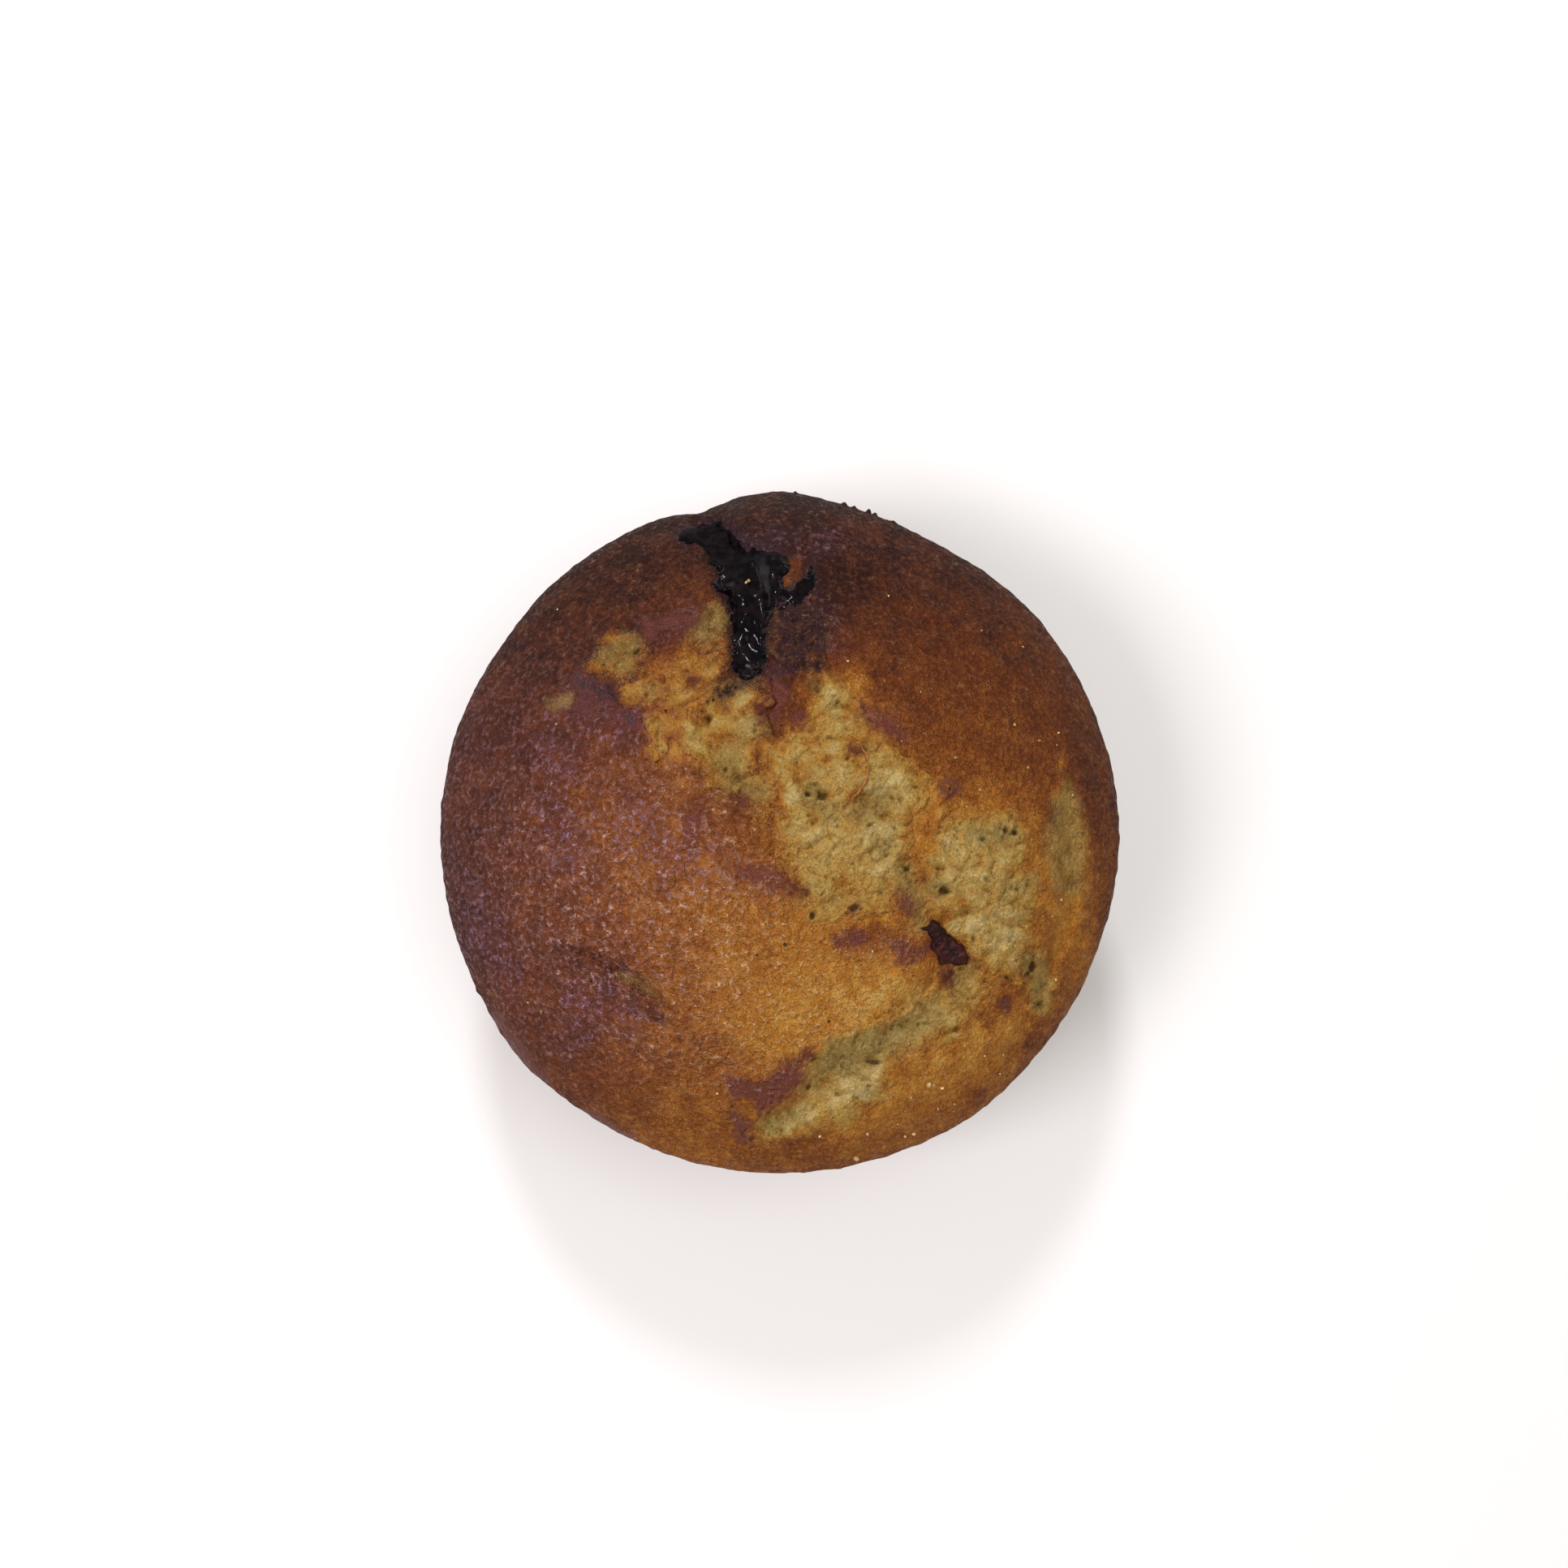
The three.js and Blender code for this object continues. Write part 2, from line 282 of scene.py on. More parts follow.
@dataclass(frozen=True)
class Zone(Trail):
    """A stretch of the dome baked to a level of doneness of its own."""

    level: float = 0.2
    edge: float = 1.0
    is_torn: bool = True
    calm: float = 1.0

    def weight(self, x: Array, y: Array, wobble: Array) -> Array:
        """How far the zone's own level holds at points, fading over its outer part.

        Args:
            x: X of the points.
            y: Y of the points.
            wobble: How far the zone's edge is shifted at each point.

        Returns:
            Weights from 0 to 1.
        """
        gap, half = self.nearest(x, y)
        full = np.minimum(3.2 * self.edge, 0.75 * half)
        return soft(half - gap + wobble, -1.4 * self.edge, full)


@dataclass(frozen=True)
class Outline:
    """A closed outline on the dome, as corners of x and y."""

    corners: tuple[tuple[float, float], ...]

    def inside(self, x: Array, y: Array) -> Array:
        """How far points lie inside the outline.

        Args:
            x: X of the points.
            y: Y of the points.

        Returns:
            Distance from the outline at each point, negative outside it.
        """
        gap = np.full(np.shape(x), np.inf)
        within = np.zeros(np.shape(x), dtype=bool)
        for (ax, ay), (bx, by) in itertools.pairwise((*self.corners, self.corners[0])):
            gap = np.minimum(gap, nearest_on_leg(x, y, (ax, ay), (bx, by))[0])
            if ay != by:
                crossed = (ay > y) != (by > y)
                within ^= crossed & (x < ax + (y - ay) * (bx - ax) / (by - ay))
        return np.where(within, gap, -gap)


@dataclass(frozen=True)
class Patch(Outline):
    """An outlined stretch of the dome baked to a level of doneness of its own."""

    level: float = 0.2
    edge: float = 1.0
    is_torn: bool = True
    calm: float = 0.85  # how much of the dome's wobble its edge follows

    def weight(self, x: Array, y: Array, wobble: Array) -> Array:
        """How far the patch's own level holds at points, fading over its outer part.

        Args:
            x: X of the points.
            y: Y of the points.
            wobble: How far the dome's edges are shifted at each point.

        Returns:
            Weights from 0 to 1.
        """
        return soft(self.inside(x, y) + self.calm * wobble, -0.7 * self.edge, 2.6 * self.edge)


@dataclass(frozen=True)
class Spot:
    """An oval of crumb or crust, paler or more toasted than what lies round it."""

    x: float
    y: float
    long: float
    short: float
    level: float
    bearing: float = 0.0
    share: float = 0.85

    def weight(self, x: Array, y: Array, wobble: Array) -> Array:
        """How far the spot's level holds at points.

        Args:
            x: X of the points.
            y: Y of the points.
            wobble: How far the dome's edges are shifted at each point.

        Returns:
            Weights from 0 to the spot's share.
        """
        along, across = turned(x - self.x, y - self.y, math.radians(self.bearing))
        gap = np.hypot(along / self.long, across / self.short) - 0.3 * wobble
        return self.share * soft(gap, 1.5, 0.35)


# ---- The plan of the cake's top ----


@dataclass(frozen=True)
class DomePlan:
    """Where the top is cracked, torn, browned and stained, in millimetres from its middle."""

    cracks: tuple[Crack, ...] = (
        Crack(
            ((-12.5, 46.5, 2.6), (-9.5, 43, 3.8), (-6.5, 38, 4.6), (-5.2, 30, 4.4), (-5, 21, 3)),
            steepness=0.78,
        ),
        Crack(
            ((-5, 21, 3), (-9.5, 14, 4.4), (-8, 6, 3.8), (-3, 0, 2.6), (0, -7, 1.2)),
            steepness=0.5,
        ),
        Crack(
            (
                (16.5, -5, 1.4), (22.5, -15.5, 3.4), (25, -20, 3.8), (19, -27, 3.8),
                (6, -36.5, 4.2), (-3, -43.5, 1.6),
            ),
            steepness=0.6,
        ),
        Crack(((41.5, 6, 1.6), (42, -4, 2.6), (41.5, -14, 2.4), (37, -26, 1.6)), steepness=0.45),
        Crack(
            ((-31, -17.4, 0.6), (-26, -18.9, 1), (-22.6, -20.9, 1.4), (-19.4, -23.2, 1.5), (-15, -26.4, 0.6)),
            steepness=1.9,
        ),
        Crack(((-30, -21.5, 2), (-23, -26, 3), (-16, -29, 1.6)), steepness=0.22),
        Crack(((9, 36, 2), (17, 31, 2.6), (27, 27, 1.6)), steepness=0.35),
    )
    # x, y, radius along x, radius along y, rise
    swellings: tuple[tuple[float, ...], ...] = (
        (9, 4, 12, 15, 1.5), (29, -6, 9, 10, 1.2), (-18, -12, 24, 24, 1.4), (0, 46, 9, 6, 1.2),
        (25, -36, 12, 8, 0.7), (22.7, 4.6, 1.3, 1.5, 0.9),
    )
    # x, y, reach, doneness: browning, darker towards the rim partly as painted shade
    browning: tuple[tuple[float, ...], ...] = (
        (0, 46, 10, 1.0), (-22, 38, 10, 0.98), (20, 38, 10, 0.9), (-16, 32, 6, 0.76), (-34, 28, 9, 0.89),
        (34, 30, 10, 0.84), (20, 22, 8, 0.71), (32, 16, 9, 0.66), (-42, 14, 8, 0.86), (-30, 11, 7, 0.8),
        (-26, 16, 4, 0.84), (-24, 7, 6, 0.64), (-38, 0, 8, 0.79), (-28, -2, 8, 0.64), (-16, -2, 6, 0.58),
        (-20, -10, 8, 0.55), (-21, 12, 2.5, 0.8), (-42, -14, 7, 0.88), (-49, -2, 6, 0.88),
        (-34, -12, 6, 0.70), (-9, 1, 3.5, 0.66), (-9, -10, 7, 0.52), (-6, -19, 7, 0.47),
        (4, -24, 7, 0.33), (0, -28, 6, 0.37), (14, -18, 5, 0.52), (10, -12, 6, 0.45), (-27, -24, 7, 0.74),
        (-16, -26, 6, 0.53), (-34, -30, 8, 0.76), (-22, -36, 7, 0.64), (-11, -36, 5, 0.58),
        (-14, -44, 7, 0.49), (0, -47, 6, 0.58), (18, -42, 7, 0.52), (24, -32, 6, 0.48),
        (37, -22, 3.5, 0.72), (38, -30, 5, 0.57), (40, -18, 6, 0.52), (47, -6, 6, 0.66), (46, 6, 6, 0.78),
        (34, 5, 6, 0.56), (24, 10, 5, 0.66), (13, 13, 3, 0.74), (44, 18, 7, 0.78), (16, -3, 4, 0.40),
        (16, 15, 5, 0.74), (11, 21, 4, 0.78),
    )
    zones: tuple[Zone | Patch, ...] = (
        # toasted ground round the tears
        Patch(
            (
                (-20.5, 21), (-18, 25), (-13, 27), (-8, 27), (-7.5, 19), (-8, 10), (-8.5, 5), (-13, 5),
                (-17, 7), (-19, 11), (-19.8, 16),
            ),
            level=0.47, edge=1.8, is_torn=False,
        ),
        Zone(((7.5, 17, 4), (9, 9, 8), (13, 3, 9), (11, -8, 8)), level=0.38, edge=2.4, is_torn=False),
        Zone(((20, 3, 3), (22, -3, 3.5), (20, -8, 2.5)), level=0.36, edge=2.0, is_torn=False),
        Zone(((28, -2, 7), (33, -8, 8), (35, -16, 7)), level=0.38, edge=2.4, is_torn=False),
        Zone(((41, -8, 4), (41, -16, 4)), level=0.43, edge=3.0, is_torn=False),
        Zone(((31, -29, 4.5), (24, -33, 5), (16, -36, 5), (10, -41, 4)), level=0.38, edge=2.6, is_torn=False),
        Zone(((11, -26, 3), (15, -22, 3), (19, -25, 3)), level=0.31, edge=2.6, is_torn=False),
        # crumb: the middle, the tear on the left, the right, the valley in front
        Patch(
            (
                (4.8, 21), (7.8, 20), (9.8, 15.5), (10.8, 12.6), (13.5, 10.6), (17, 8.4), (19.4, 6), (20, 3),
                (18, 0.4), (17.6, -4), (17.4, -8), (15, -11), (12, -12.6), (7, -12.8), (3.6, -13.4),
                (1.4, -10.5), (0.2, -6), (-1.2, -2), (-0.6, 3), (-2, 7), (-2.4, 10.4), (0, 12), (3.4, 12.4),
                (4, 16),
            ),
            level=0.24, edge=1.2,
        ),
        Patch(
            (
                (-3.2, 19.8), (-2.2, 17.6), (-3.8, 15), (-2.6, 13),
                (-2.4, 8.4), (-1, 5), (-1.2, 0), (-1.6, -3.4),
                (-2.8, -4.4), (-3.8, -1), (-4.2, 3.2), (-7, 4),
                (-10.4, 5), (-12, 8), (-14.4, 10), (-13.8, 14),
                (-11, 18), (-6.6, 19.6),
            ),
            level=0.31, edge=1.1,
        ),
        Patch(
            ((-14, 14), (-12, 19.5), (-8.5, 21), (-8, 25.6), (-12, 26), (-16, 22), (-17, 17)),
            level=0.47, edge=1.6,
        ),
        Patch(
            (
                (21.6, 1.8), (26, 1.4), (30, 1.4), (33.4, 1), (34, -3), (33.4, -6.5), (36, -8.4), (37, -11),
                (35.4, -14.5), (35.6, -18), (36.8, -21), (34, -22.6), (30, -21.8), (27, -20.4), (26.2, -17.4),
                (23.4, -14), (20.4, -11.6), (19.8, -7.5), (20.6, -2),
            ),
            level=0.2, edge=1.4,
        ),
        Patch(
            (
                (26.8, -19.6), (28.6, -22.4), (27.4, -26), (25.4, -29.6), (20.4, -30.8), (17, -32), (15, -35),
                (14.4, -38.4), (11, -40.6), (7, -43.2), (2, -44.8), (-2, -45.6), (-4.4, -45.2), (-3.2, -42.6),
                (-1.4, -40.6), (0.6, -39), (2.6, -37), (3.8, -35.2), (4.4, -32.8), (6.4, -31), (9.4, -29.8),
                (13, -28.4), (16, -26.4), (19.4, -24.8), (22, -22), (24.4, -20),
            ),
            level=0.2, edge=1.2,
        ),
        Patch(
            (
                (40.4, 11), (43.8, 5), (44.8, 0), (44.8, -5), (44, -10), (38, -9.6), (37.4, -3),
                (37.8, 1), (38.8, 5),
            ),
            level=0.38, edge=1.5, is_torn=False,
        ),
        Zone(((37.2, -23, 1), (36.8, -26, 1.2)), level=0.3, edge=1.3),
        # crumb that shows in the toasted ground on the left
        Patch(
            (
                (-27.8, 22.4), (-26, 25.8), (-23.9, 27.4), (-21.4, 27.2), (-19.7, 25.6), (-19.4, 23.4),
                (-20, 21.7), (-22, 20), (-24.3, 19.2), (-26.2, 20.9),
            ),
            level=0.54, edge=1.3, calm=0.6,
        ),
        Patch(
            (
                (-35.6, 16.9), (-33.4, 18.3), (-30.6, 19.2), (-29.4, 18.4), (-29.6, 16.9), (-31.6, 16),
                (-33.8, 15.9),
            ),
            level=0.7, edge=0.9, is_torn=False, calm=0.4,
        ),
        Zone(((-21.5, 17.8, 1.2), (-18.6, 18.9, 1.2)), level=0.42, edge=1.1),
        Zone(((-18, 13.6, 1.1), (-17.4, 10.8, 1.1)), level=0.4, edge=1.0),
        Zone(((-9.4, 31, 1), (-9.8, 28.5, 1.9), (-11.2, 26, 1.8)), level=0.68, edge=1.2),
        # ground stained round the chocolate, dark fringes, and painted shade in the fissure on the left in
        # front
        Zone(((0, 30, 1.6), (2, 26.5, 3.4), (3.4, 22.8, 2.2)), level=0.84, edge=1.4),
        Zone(((0.2, 34.4, 0.4), (1.4, 35.8, 0.6), (1.6, 37.6, 0.4)), level=0.72, edge=0.8, is_torn=False),
        Zone(
            ((-29.8, -19.4, 1.1), (-24.6, -22.6, 1.9), (-20, -25.6, 1.4), (-17.6, -27, 0.4)),
            level=0.78, edge=0.9, is_torn=False,
        ),
        Zone(
            ((-31.2, -17.3, 0.3), (-27, -18.6, 0.6), (-23.4, -20.4, 0.7)),
            level=0.76, edge=0.5, is_torn=False,
        ),
        Patch(
            ((-23.6, -20.4), (-21.2, -21.2), (-18.6, -23.4), (-15.8, -25.8), (-18.4, -24.6), (-21.6, -22.6)),
            level=0.64, edge=0.4, is_torn=False, calm=0.2,
        ),
        Patch(
            (
                (-8.6, -34.6), (-6, -35.6), (-2, -34.4), (1, -32.8), (4, -31.2), (3.4, -34), (2.2, -36.4),
                (0, -38.4), (-3.2, -41.2), (-6.8, -38.4),
            ),
            level=0.62, edge=0.8, is_torn=False, calm=0.35,
        ),
    )
    spots: tuple[Spot, ...] = (
        # the crumb in the middle
        Spot(9.3, 14, 1.6, 3, 0.38), Spot(4.7, 15.2, 1, 1.4, 0.32), Spot(6.6, 17.2, 1.1, 2.6, 0.15),
        Spot(2, 6.1, 1.9, 1.1, 0.4, 20), Spot(5.6, 8.3, 0.6, 0.6, 0.52), Spot(0.4, 3, 1.1, 1.6, 0.06),
        Spot(8.6, -1.4, 1.5, 1.1, 0.28), Spot(13.4, -4.6, 3.2, 3.8, 0.14),
        Spot(10.5, 8, 2.6, 2, 0.34, share=0.6), Spot(4, -3.4, 2.2, 2.4, 0.17, share=0.6),
        Spot(1.6, -3, 1, 0.8, 0.42, share=0.7), Spot(7.5, -8.5, 1.1, 0.8, 0.44),
        Spot(12, 2.4, 1.4, 1, 0.52), Spot(6, 12, 2, 1.6, 0.36, share=0.7),
        Spot(9.1, 3, 1.3, 0.8, 0.6, 25), Spot(16.4, -2.2, 0.6, 0.6, 0.56),
        Spot(18.9, -1.2, 1.8, 0.8, 0.54), Spot(18.7, -5.8, 1, 3, 0.52),
        Spot(14.4, 5.2, 2.4, 2, 0.0, share=0.9), Spot(1.8, 12, 1.8, 1.6, 0.16),
        Spot(-2.6, 16.8, 1.3, 0.9, 0.34), Spot(2.4, 18.4, 1.6, 2.6, 0.57),
        # the tear on the left
        Spot(-12.8, 11.8, 1.4, 2.2, 0.12), Spot(-8.6, 10, 2, 2.4, 0.44, share=0.8),
        Spot(-4.1, 8.8, 0.8, 0.7, 0.52), Spot(-4, 7, 1.9, 0.6, 0.64, 25), Spot(-2.2, -1, 0.9, 3.2, 0.68),
        Spot(-6, 17, 2, 1, 0.15, 30), Spot(-5, 13.5, 1.5, 1.6, 0.14), Spot(-15.4, 13.6, 1, 1.2, 0.5),
        Spot(-14.2, 6.4, 2.6, 1.4, 0.54), Spot(-8.6, 16.4, 1.4, 1.8, 0.56),
        Spot(-13, 19.8, 0.8, 0.45, 0.76), Spot(-12, 24.4, 1.6, 0.8, 0.58),
        Spot(-14.6, 17.8, 2, 1.8, 0.34), Spot(-16.4, 13.4, 1.6, 1.2, 0.3),
        Spot(-15.4, 9.8, 1.4, 1.8, 0.32), Spot(-15.6, 22.8, 2, 0.5, 0.66, 20),
        Spot(-13.4, 16.8, 1.9, 0.45, 0.62, 35), Spot(-16.6, 20.2, 1.6, 0.4, 0.64, 10),
        Spot(-10.6, 21.4, 1.7, 0.9, 0.3, 30), Spot(-21.4, 18.4, 1.2, 1.4, 0.34),
        Spot(-19.1, 18.7, 1.1, 0.9, 0.6, 30), Spot(-18.2, 22.4, 1.8, 1.6, 0.5),
        Spot(-22.8, 22.6, 1.9, 1.5, 0.5), Spot(-24.6, 24.6, 0.5, 0.4, 0.7),
        Spot(-22, 25.4, 0.4, 0.5, 0.66), Spot(-23.4, 26.4, 2.2, 0.8, 0.46),
        Spot(-27, 22.4, 1.2, 0.9, 0.52),
        # the right
        Spot(24, -3, 2, 2, 0.17), Spot(26, -6.6, 2.4, 1.8, 0.17, share=0.6),
        Spot(29.5, -11.8, 2.3, 1, 0.24), Spot(26.3, -9.6, 0.9, 0.5, 0.44),
        Spot(24.8, -14.6, 1.7, 1.4, 0.08), Spot(31.6, -16, 2.2, 2, 0.04), Spot(34.6, -5.6, 1, 2.8, 0.46),
        Spot(36.2, -13.6, 1.2, 2.4, 0.48), Spot(35.8, 0.6, 1.5, 3, 0.5), Spot(20.4, -0.6, 1.7, 1, 0.56),
        # the dark spot at 35, -19.8 is painted shade in a fold
        Spot(27.4, -17.8, 1.6, 1.2, 0.22), Spot(41, -12, 2, 2.4, 0.4), Spot(35, -19.8, 1.5, 2.2, 0.76),
        Spot(12, -15.8, 3.2, 1.8, 0.62),
        # the valley in front, its pale cream slope partly painted light
        Spot(10.6, -36.6, 3.4, 2.4, 0.0, 20, share=0.95), Spot(2.4, -41.2, 3.4, 1.4, 0.14, 25),
        Spot(24.6, -24.6, 1.8, 2, 0.42), Spot(12, -40.2, 2.4, 0.8, 0.42, 20),
        Spot(22, -33.4, 3, 1.6, 0.36, share=0.6), Spot(30.4, -26.6, 3.2, 2.4, 0.5),
        Spot(31.7, -25.6, 1.4, 1.3, 0.66), Spot(29, -22.6, 1.8, 1, 0.4), Spot(36, -31.6, 1.6, 1, 0.7, 45),
        Spot(29, -39.2, 2, 1, 0.72, 35), Spot(23, -21.6, 0.9, 1.6, 0.66),
        # the pale tip of the caramel patch in front
        Spot(-8.6, -34.6, 0.6, 0.9, 0.42, 35),
        # dark pits along the fissure: painted shade
        Spot(-29.6, -17.6, 0.5, 0.35, 0.97, 60), Spot(-26.1, -18.5, 0.6, 0.4, 0.97),
        Spot(-22.5, -20.5, 0.8, 0.55, 1.0, -20), Spot(-21.4, -21.8, 0.5, 0.25, 1.0, 20),
        Spot(-14.6, -29.8, 0.3, 0.8, 0.85),
    )
    caramel: tuple[Trail, ...] = routes(
        ((-30, 20.8, 0.9), (-27.6, 19.6, 1.4), (-25, 18.8, 1.4), (-24.4, 17.4, 0.9)),
        ((-28, 18.6, 1.2), (-27.8, 15.6, 1.3)),
        ((-19.4, 28.6, 0.7), (-19.2, 26.8, 0.8)),
        ((-23, 15.6, 1.2), (-21.2, 14, 1.4)),
        ((-17, 28.8, 0.8), (-12.5, 29, 0.7)),
        ((-1.6, 19.6, 1.1), (-0.6, 18, 1.2), (-2.2, 15.4, 1.5), (-3.6, 14.2, 0.6)),
        ((1.6, 14.6, 1), (2, 12.8, 0.8)),
        ((11, 15.4, 0.7), (13.4, 13.8, 1), (16.4, 11.6, 0.9)),
        ((9.3, 9.4, 0.45), (10.4, 9.9, 0.5)),
        ((22.7, 4.6, 1.6),),
        ((-13.5, 0, 1), (-11.5, 0.8, 0.8)),
        ((-13.5, -1.4, 0.8), (-12.6, -3, 0.8)),
        ((-5, -7.2, 0.9), (-1.4, -8.4, 1.3), (2.3, -9.8, 0.7)),
        ((7.5, -16.8, 1), (10.5, -15.8, 0.8)),
        ((15.8, -16.8, 1), (17.4, -18.8, 1.5), (20, -17.2, 0.8)),
        ((15.8, -9.6, 0.9), (16.8, -11.6, 1.2)),
        ((3.2, -32.4, 0.7), (1.2, -34.8, 1.7), (-1, -37.2, 2.1), (-3, -40.2, 0.7)),
        ((-3.4, -38.4, 1.1), (-6.4, -37.2, 0.9), (-7.6, -36, 0.4)),
        ((-7, -41, 0.6), (-5.9, -43, 1.3), (-5.4, -45, 0.9)),
        ((31.7, -25.7, 0.8),),
        ((-42, -27.6, 0.6), (-39, -32, 1.3), (-34.5, -36.8, 0.8)),
        ((-28.6, -41.4, 0.5), (-25.6, -43.3, 1), (-22, -45.2, 0.5)),
        ((-7, 3.2, 0.6), (-5.6, 2.8, 0.5)),
        ((-13, 19.8, 0.7),),
        ((9.4, -12.3, 0.5),),
        ((23.2, -20.8, 0.9), (23.3, -22.6, 0.6)),
    )
    stains: tuple[Trail, ...] = routes(
        ((-29.8, 20.8, 0.4), (-27.2, 19.5, 1), (-24.6, 18, 0.7)),
        ((-28, 18.4, 0.3), (-27.6, 16.2, 0.3)),
        ((-22.6, 15.2, 0.1), (-21.2, 14.2, 0.3)),
        ((-0.6, 31, 1.4), (1, 28.4, 2.6), (1.8, 25.4, 3), (1.2, 22.8, 1.8)),
        ((4.6, 29, 0.9), (5.2, 25, 1), (4.4, 22, 0.6)),
        ((-1.2, 21.2, 0.9), (0.4, 21.2, 1)),
        ((-9.2, 17.7, 0.5), (-7.4, 18.8, 0.5), (-5.4, 19.5, 0.7)),
        ((4, 25.6, 0.8),),
        ((-14.5, 43, 1.8), (-11, 44.4, 2.6), (-7.6, 42.4, 2.2), (-4, 39.6, 1.2), (-0.6, 39.2, 1)),
        ((-5, 37, 5), (-5, 34, 4.6), (-5.2, 28, 2.6), (-5, 22, 2.2)),
        ((0, 32, 1.4), (3.8, 34.6, 1), (4.2, 38.6, 0.3)),
    )
    # grey-green crumb: moist places, and painted shade in hollows and along the valley's upper side
    olive: tuple[Trail, ...] = routes(
        ((-8.2, 8.5, 2), (-7.4, 5.5, 1.8), (-3.6, 3.8, 1.2)),
        ((-4, 13, 1.4), (-6, 11.4, 1)),
        ((3.6, 3.5, 1.6), (6, 1, 1.2)),
        ((9.6, 1.2, 1.2), (12.8, 2.6, 2)),
        ((13.3, -3.8, 1.2),),
        ((16.2, -6.8, 1.2), (18.4, -11.6, 1.5), (18.8, -14, 1.2)),
        ((21.4, -9.3, 1.3),),
        ((26.6, -1.6, 1.2), (30.8, -1.8, 1.6), (32.8, -1.6, 0.8)),
        ((35, -8.2, 1.2), (31.4, -9.2, 0.7)),
        ((33.6, -18.4, 0.8), (35.6, -19.6, 1.8), (37.4, -22.4, 1.8), (38, -26, 1.4)),
        ((26.6, -20.6, 0.9), (24.6, -22.6, 1.2), (24.2, -25, 1)),
        ((41.4, 6, 0.8), (41.4, 2, 2.6), (41.2, -2, 3.4), (41, -7, 2.8)),
        (
            (3.4, -37.2, 0.8), (5.4, -34.4, 1.8), (8, -32.6, 2.6), (13, -31.4, 2.4),
            (17.6, -29, 2.2), (21.6, -27, 1.6),
        ),
        ((-25, 24, 1.4), (-22.4, 25.2, 1.6), (-22.8, 22.6, 1.4)),
        ((-12.6, 12, 0.6),),
        ((-33, 17.1, 0.3), (-30.8, 17.8, 0.6)),
        ((-19, 18.6, 0.9),),
        ((-17.4, 13, 0.3),),
        ((-9.4, 29.4, 2), (-11.4, 27, 1.4)),
        ((-8.8, 17.8, 1.4), (-6, 18.8, 1)),
        ((4.2, 19, 0.9),),
        ((7.3, 16.4, 0.7),),
        ((-1.6, -42.6, 1.6), (2.6, -40.8, 0.9)),
        ((-22.6, -21.2, 0.1), (-20.3, -22.5, 0.4), (-17.6, -24.3, 0.1)),
    )
    # painted cool sheen, where a cool light is reflected
    cool_sheen_trails: tuple[Trail, ...] = routes(
        ((-45, -8, 1.5), (-43.5, -16, 3), (-40, -20, 2)),
        ((-31, -31, 2), (-27, -25, 3), (-22, -27, 2)),
        ((-22, 3, 1.4), (-19, -3, 3), (-12, -6.5, 3), (-4, -8, 2)),
        ((-29, 18, 1.6), (-27.6, 15, 1.8)),
        ((-34, 11, 2), (-31, 9, 2)),
        ((-24, 13, 1.6), (-21, 14, 1.6)),
        ((-13, -0.5, 2),),
        ((-32, 2, 2), (-30, -5, 2)),
        ((-19, 28, 2), (-14, 29.4, 2)),
        ((-3, -37.5, 1.6), (1, -35.6, 1.6)),
        ((-8, -35.4, 0.9), (-6.8, -37, 0.8)),
        ((-2, 43.5, 2), (4, 41, 2), (8, 43, 2)),
        ((4, 31, 2), (6, 25, 2)),
        ((11.5, 15.8, 1), (14, 13.6, 1)),
        ((15.8, -17.4, 1.6), (8.4, -16.6, 0.8)),
    )
    # holes in the crumb: x, y, radius, length over width, bearing of the length
    holes: tuple[tuple[float, ...], ...] = (
        (-10.7, 14.2, 0.55, 2, 100), (2.9, 3.5, 0.5, 1, 0), (4.7, 3.3, 0.75, 1.1, 0),
        (11.6, -0.6, 0.45, 1.2, 0), (16.6, -6.6, 0.5, 1.9, -25), (13.4, -3.6, 0.3, 2.4, 0),
        (10.4, -3, 0.25, 2.4, 90), (31, -1, 0.7, 1.4, 100), (32.6, -1.3, 0.55, 1.1, 0),
        (27.2, -1.2, 0.28, 1, 0), (24.4, -0.3, 0.3, 1, 0), (24.3, -1.2, 0.25, 1, 0),
        (21.3, -6.5, 0.35, 2.2, 0), (28.4, -8, 0.35, 2.6, -15), (22, -9.4, 0.55, 2.3, -12),
        (31, -9.8, 0.28, 1.5, 90), (32.2, -9.2, 0.28, 1.6, 90), (22.5, -12.6, 0.35, 1, 0),
        (25.7, -12.6, 0.3, 1, 0), (36.6, -4.4, 0.3, 1, 0), (35.9, -20.6, 0.7, 2, 75),
        (31.8, -21.7, 0.5, 1.7, 0), (25, -20.5, 0.3, 2, 0), (27.4, -20.4, 0.35, 2, 0),
        (24.4, -29.1, 0.4, 2.2, 20), (22, -27.2, 0.35, 1.3, 0), (26, -24.7, 0.28, 1, 0),
        (12.8, -33.6, 0.6, 1.9, 10), (15.5, -32.2, 0.45, 1.4, 0), (3.4, -37.2, 0.5, 1.5, 40),
        (-8.2, 7, 0.4, 1, 0), (-4.2, 11.2, 0.3, 1.4, 0), (-3.4, 5.6, 0.25, 1, 0),
        (7.3, 16.6, 0.3, 1.4, 60), (4.4, 18.6, 0.55, 1.5, 90), (9, 10.8, 0.4, 1, 0),
        (9.6, -11.9, 0.6, 1.5, 30), (3.7, -13, 0.5, 1, 0), (-24.6, 27, 0.3, 1.2, 90),
        (-23, 26.6, 0.25, 1.2, 60), (-31, 17.8, 0.3, 1, 0),
    )

    def crack_depth(self, x: Array, y: Array) -> Array:
        """Depth of the deepest crack at points."""
        first, *others = (crack.depth(x, y) for crack in self.cracks)
        return np.maximum(first, 0.7 * np.max(others, axis=0))

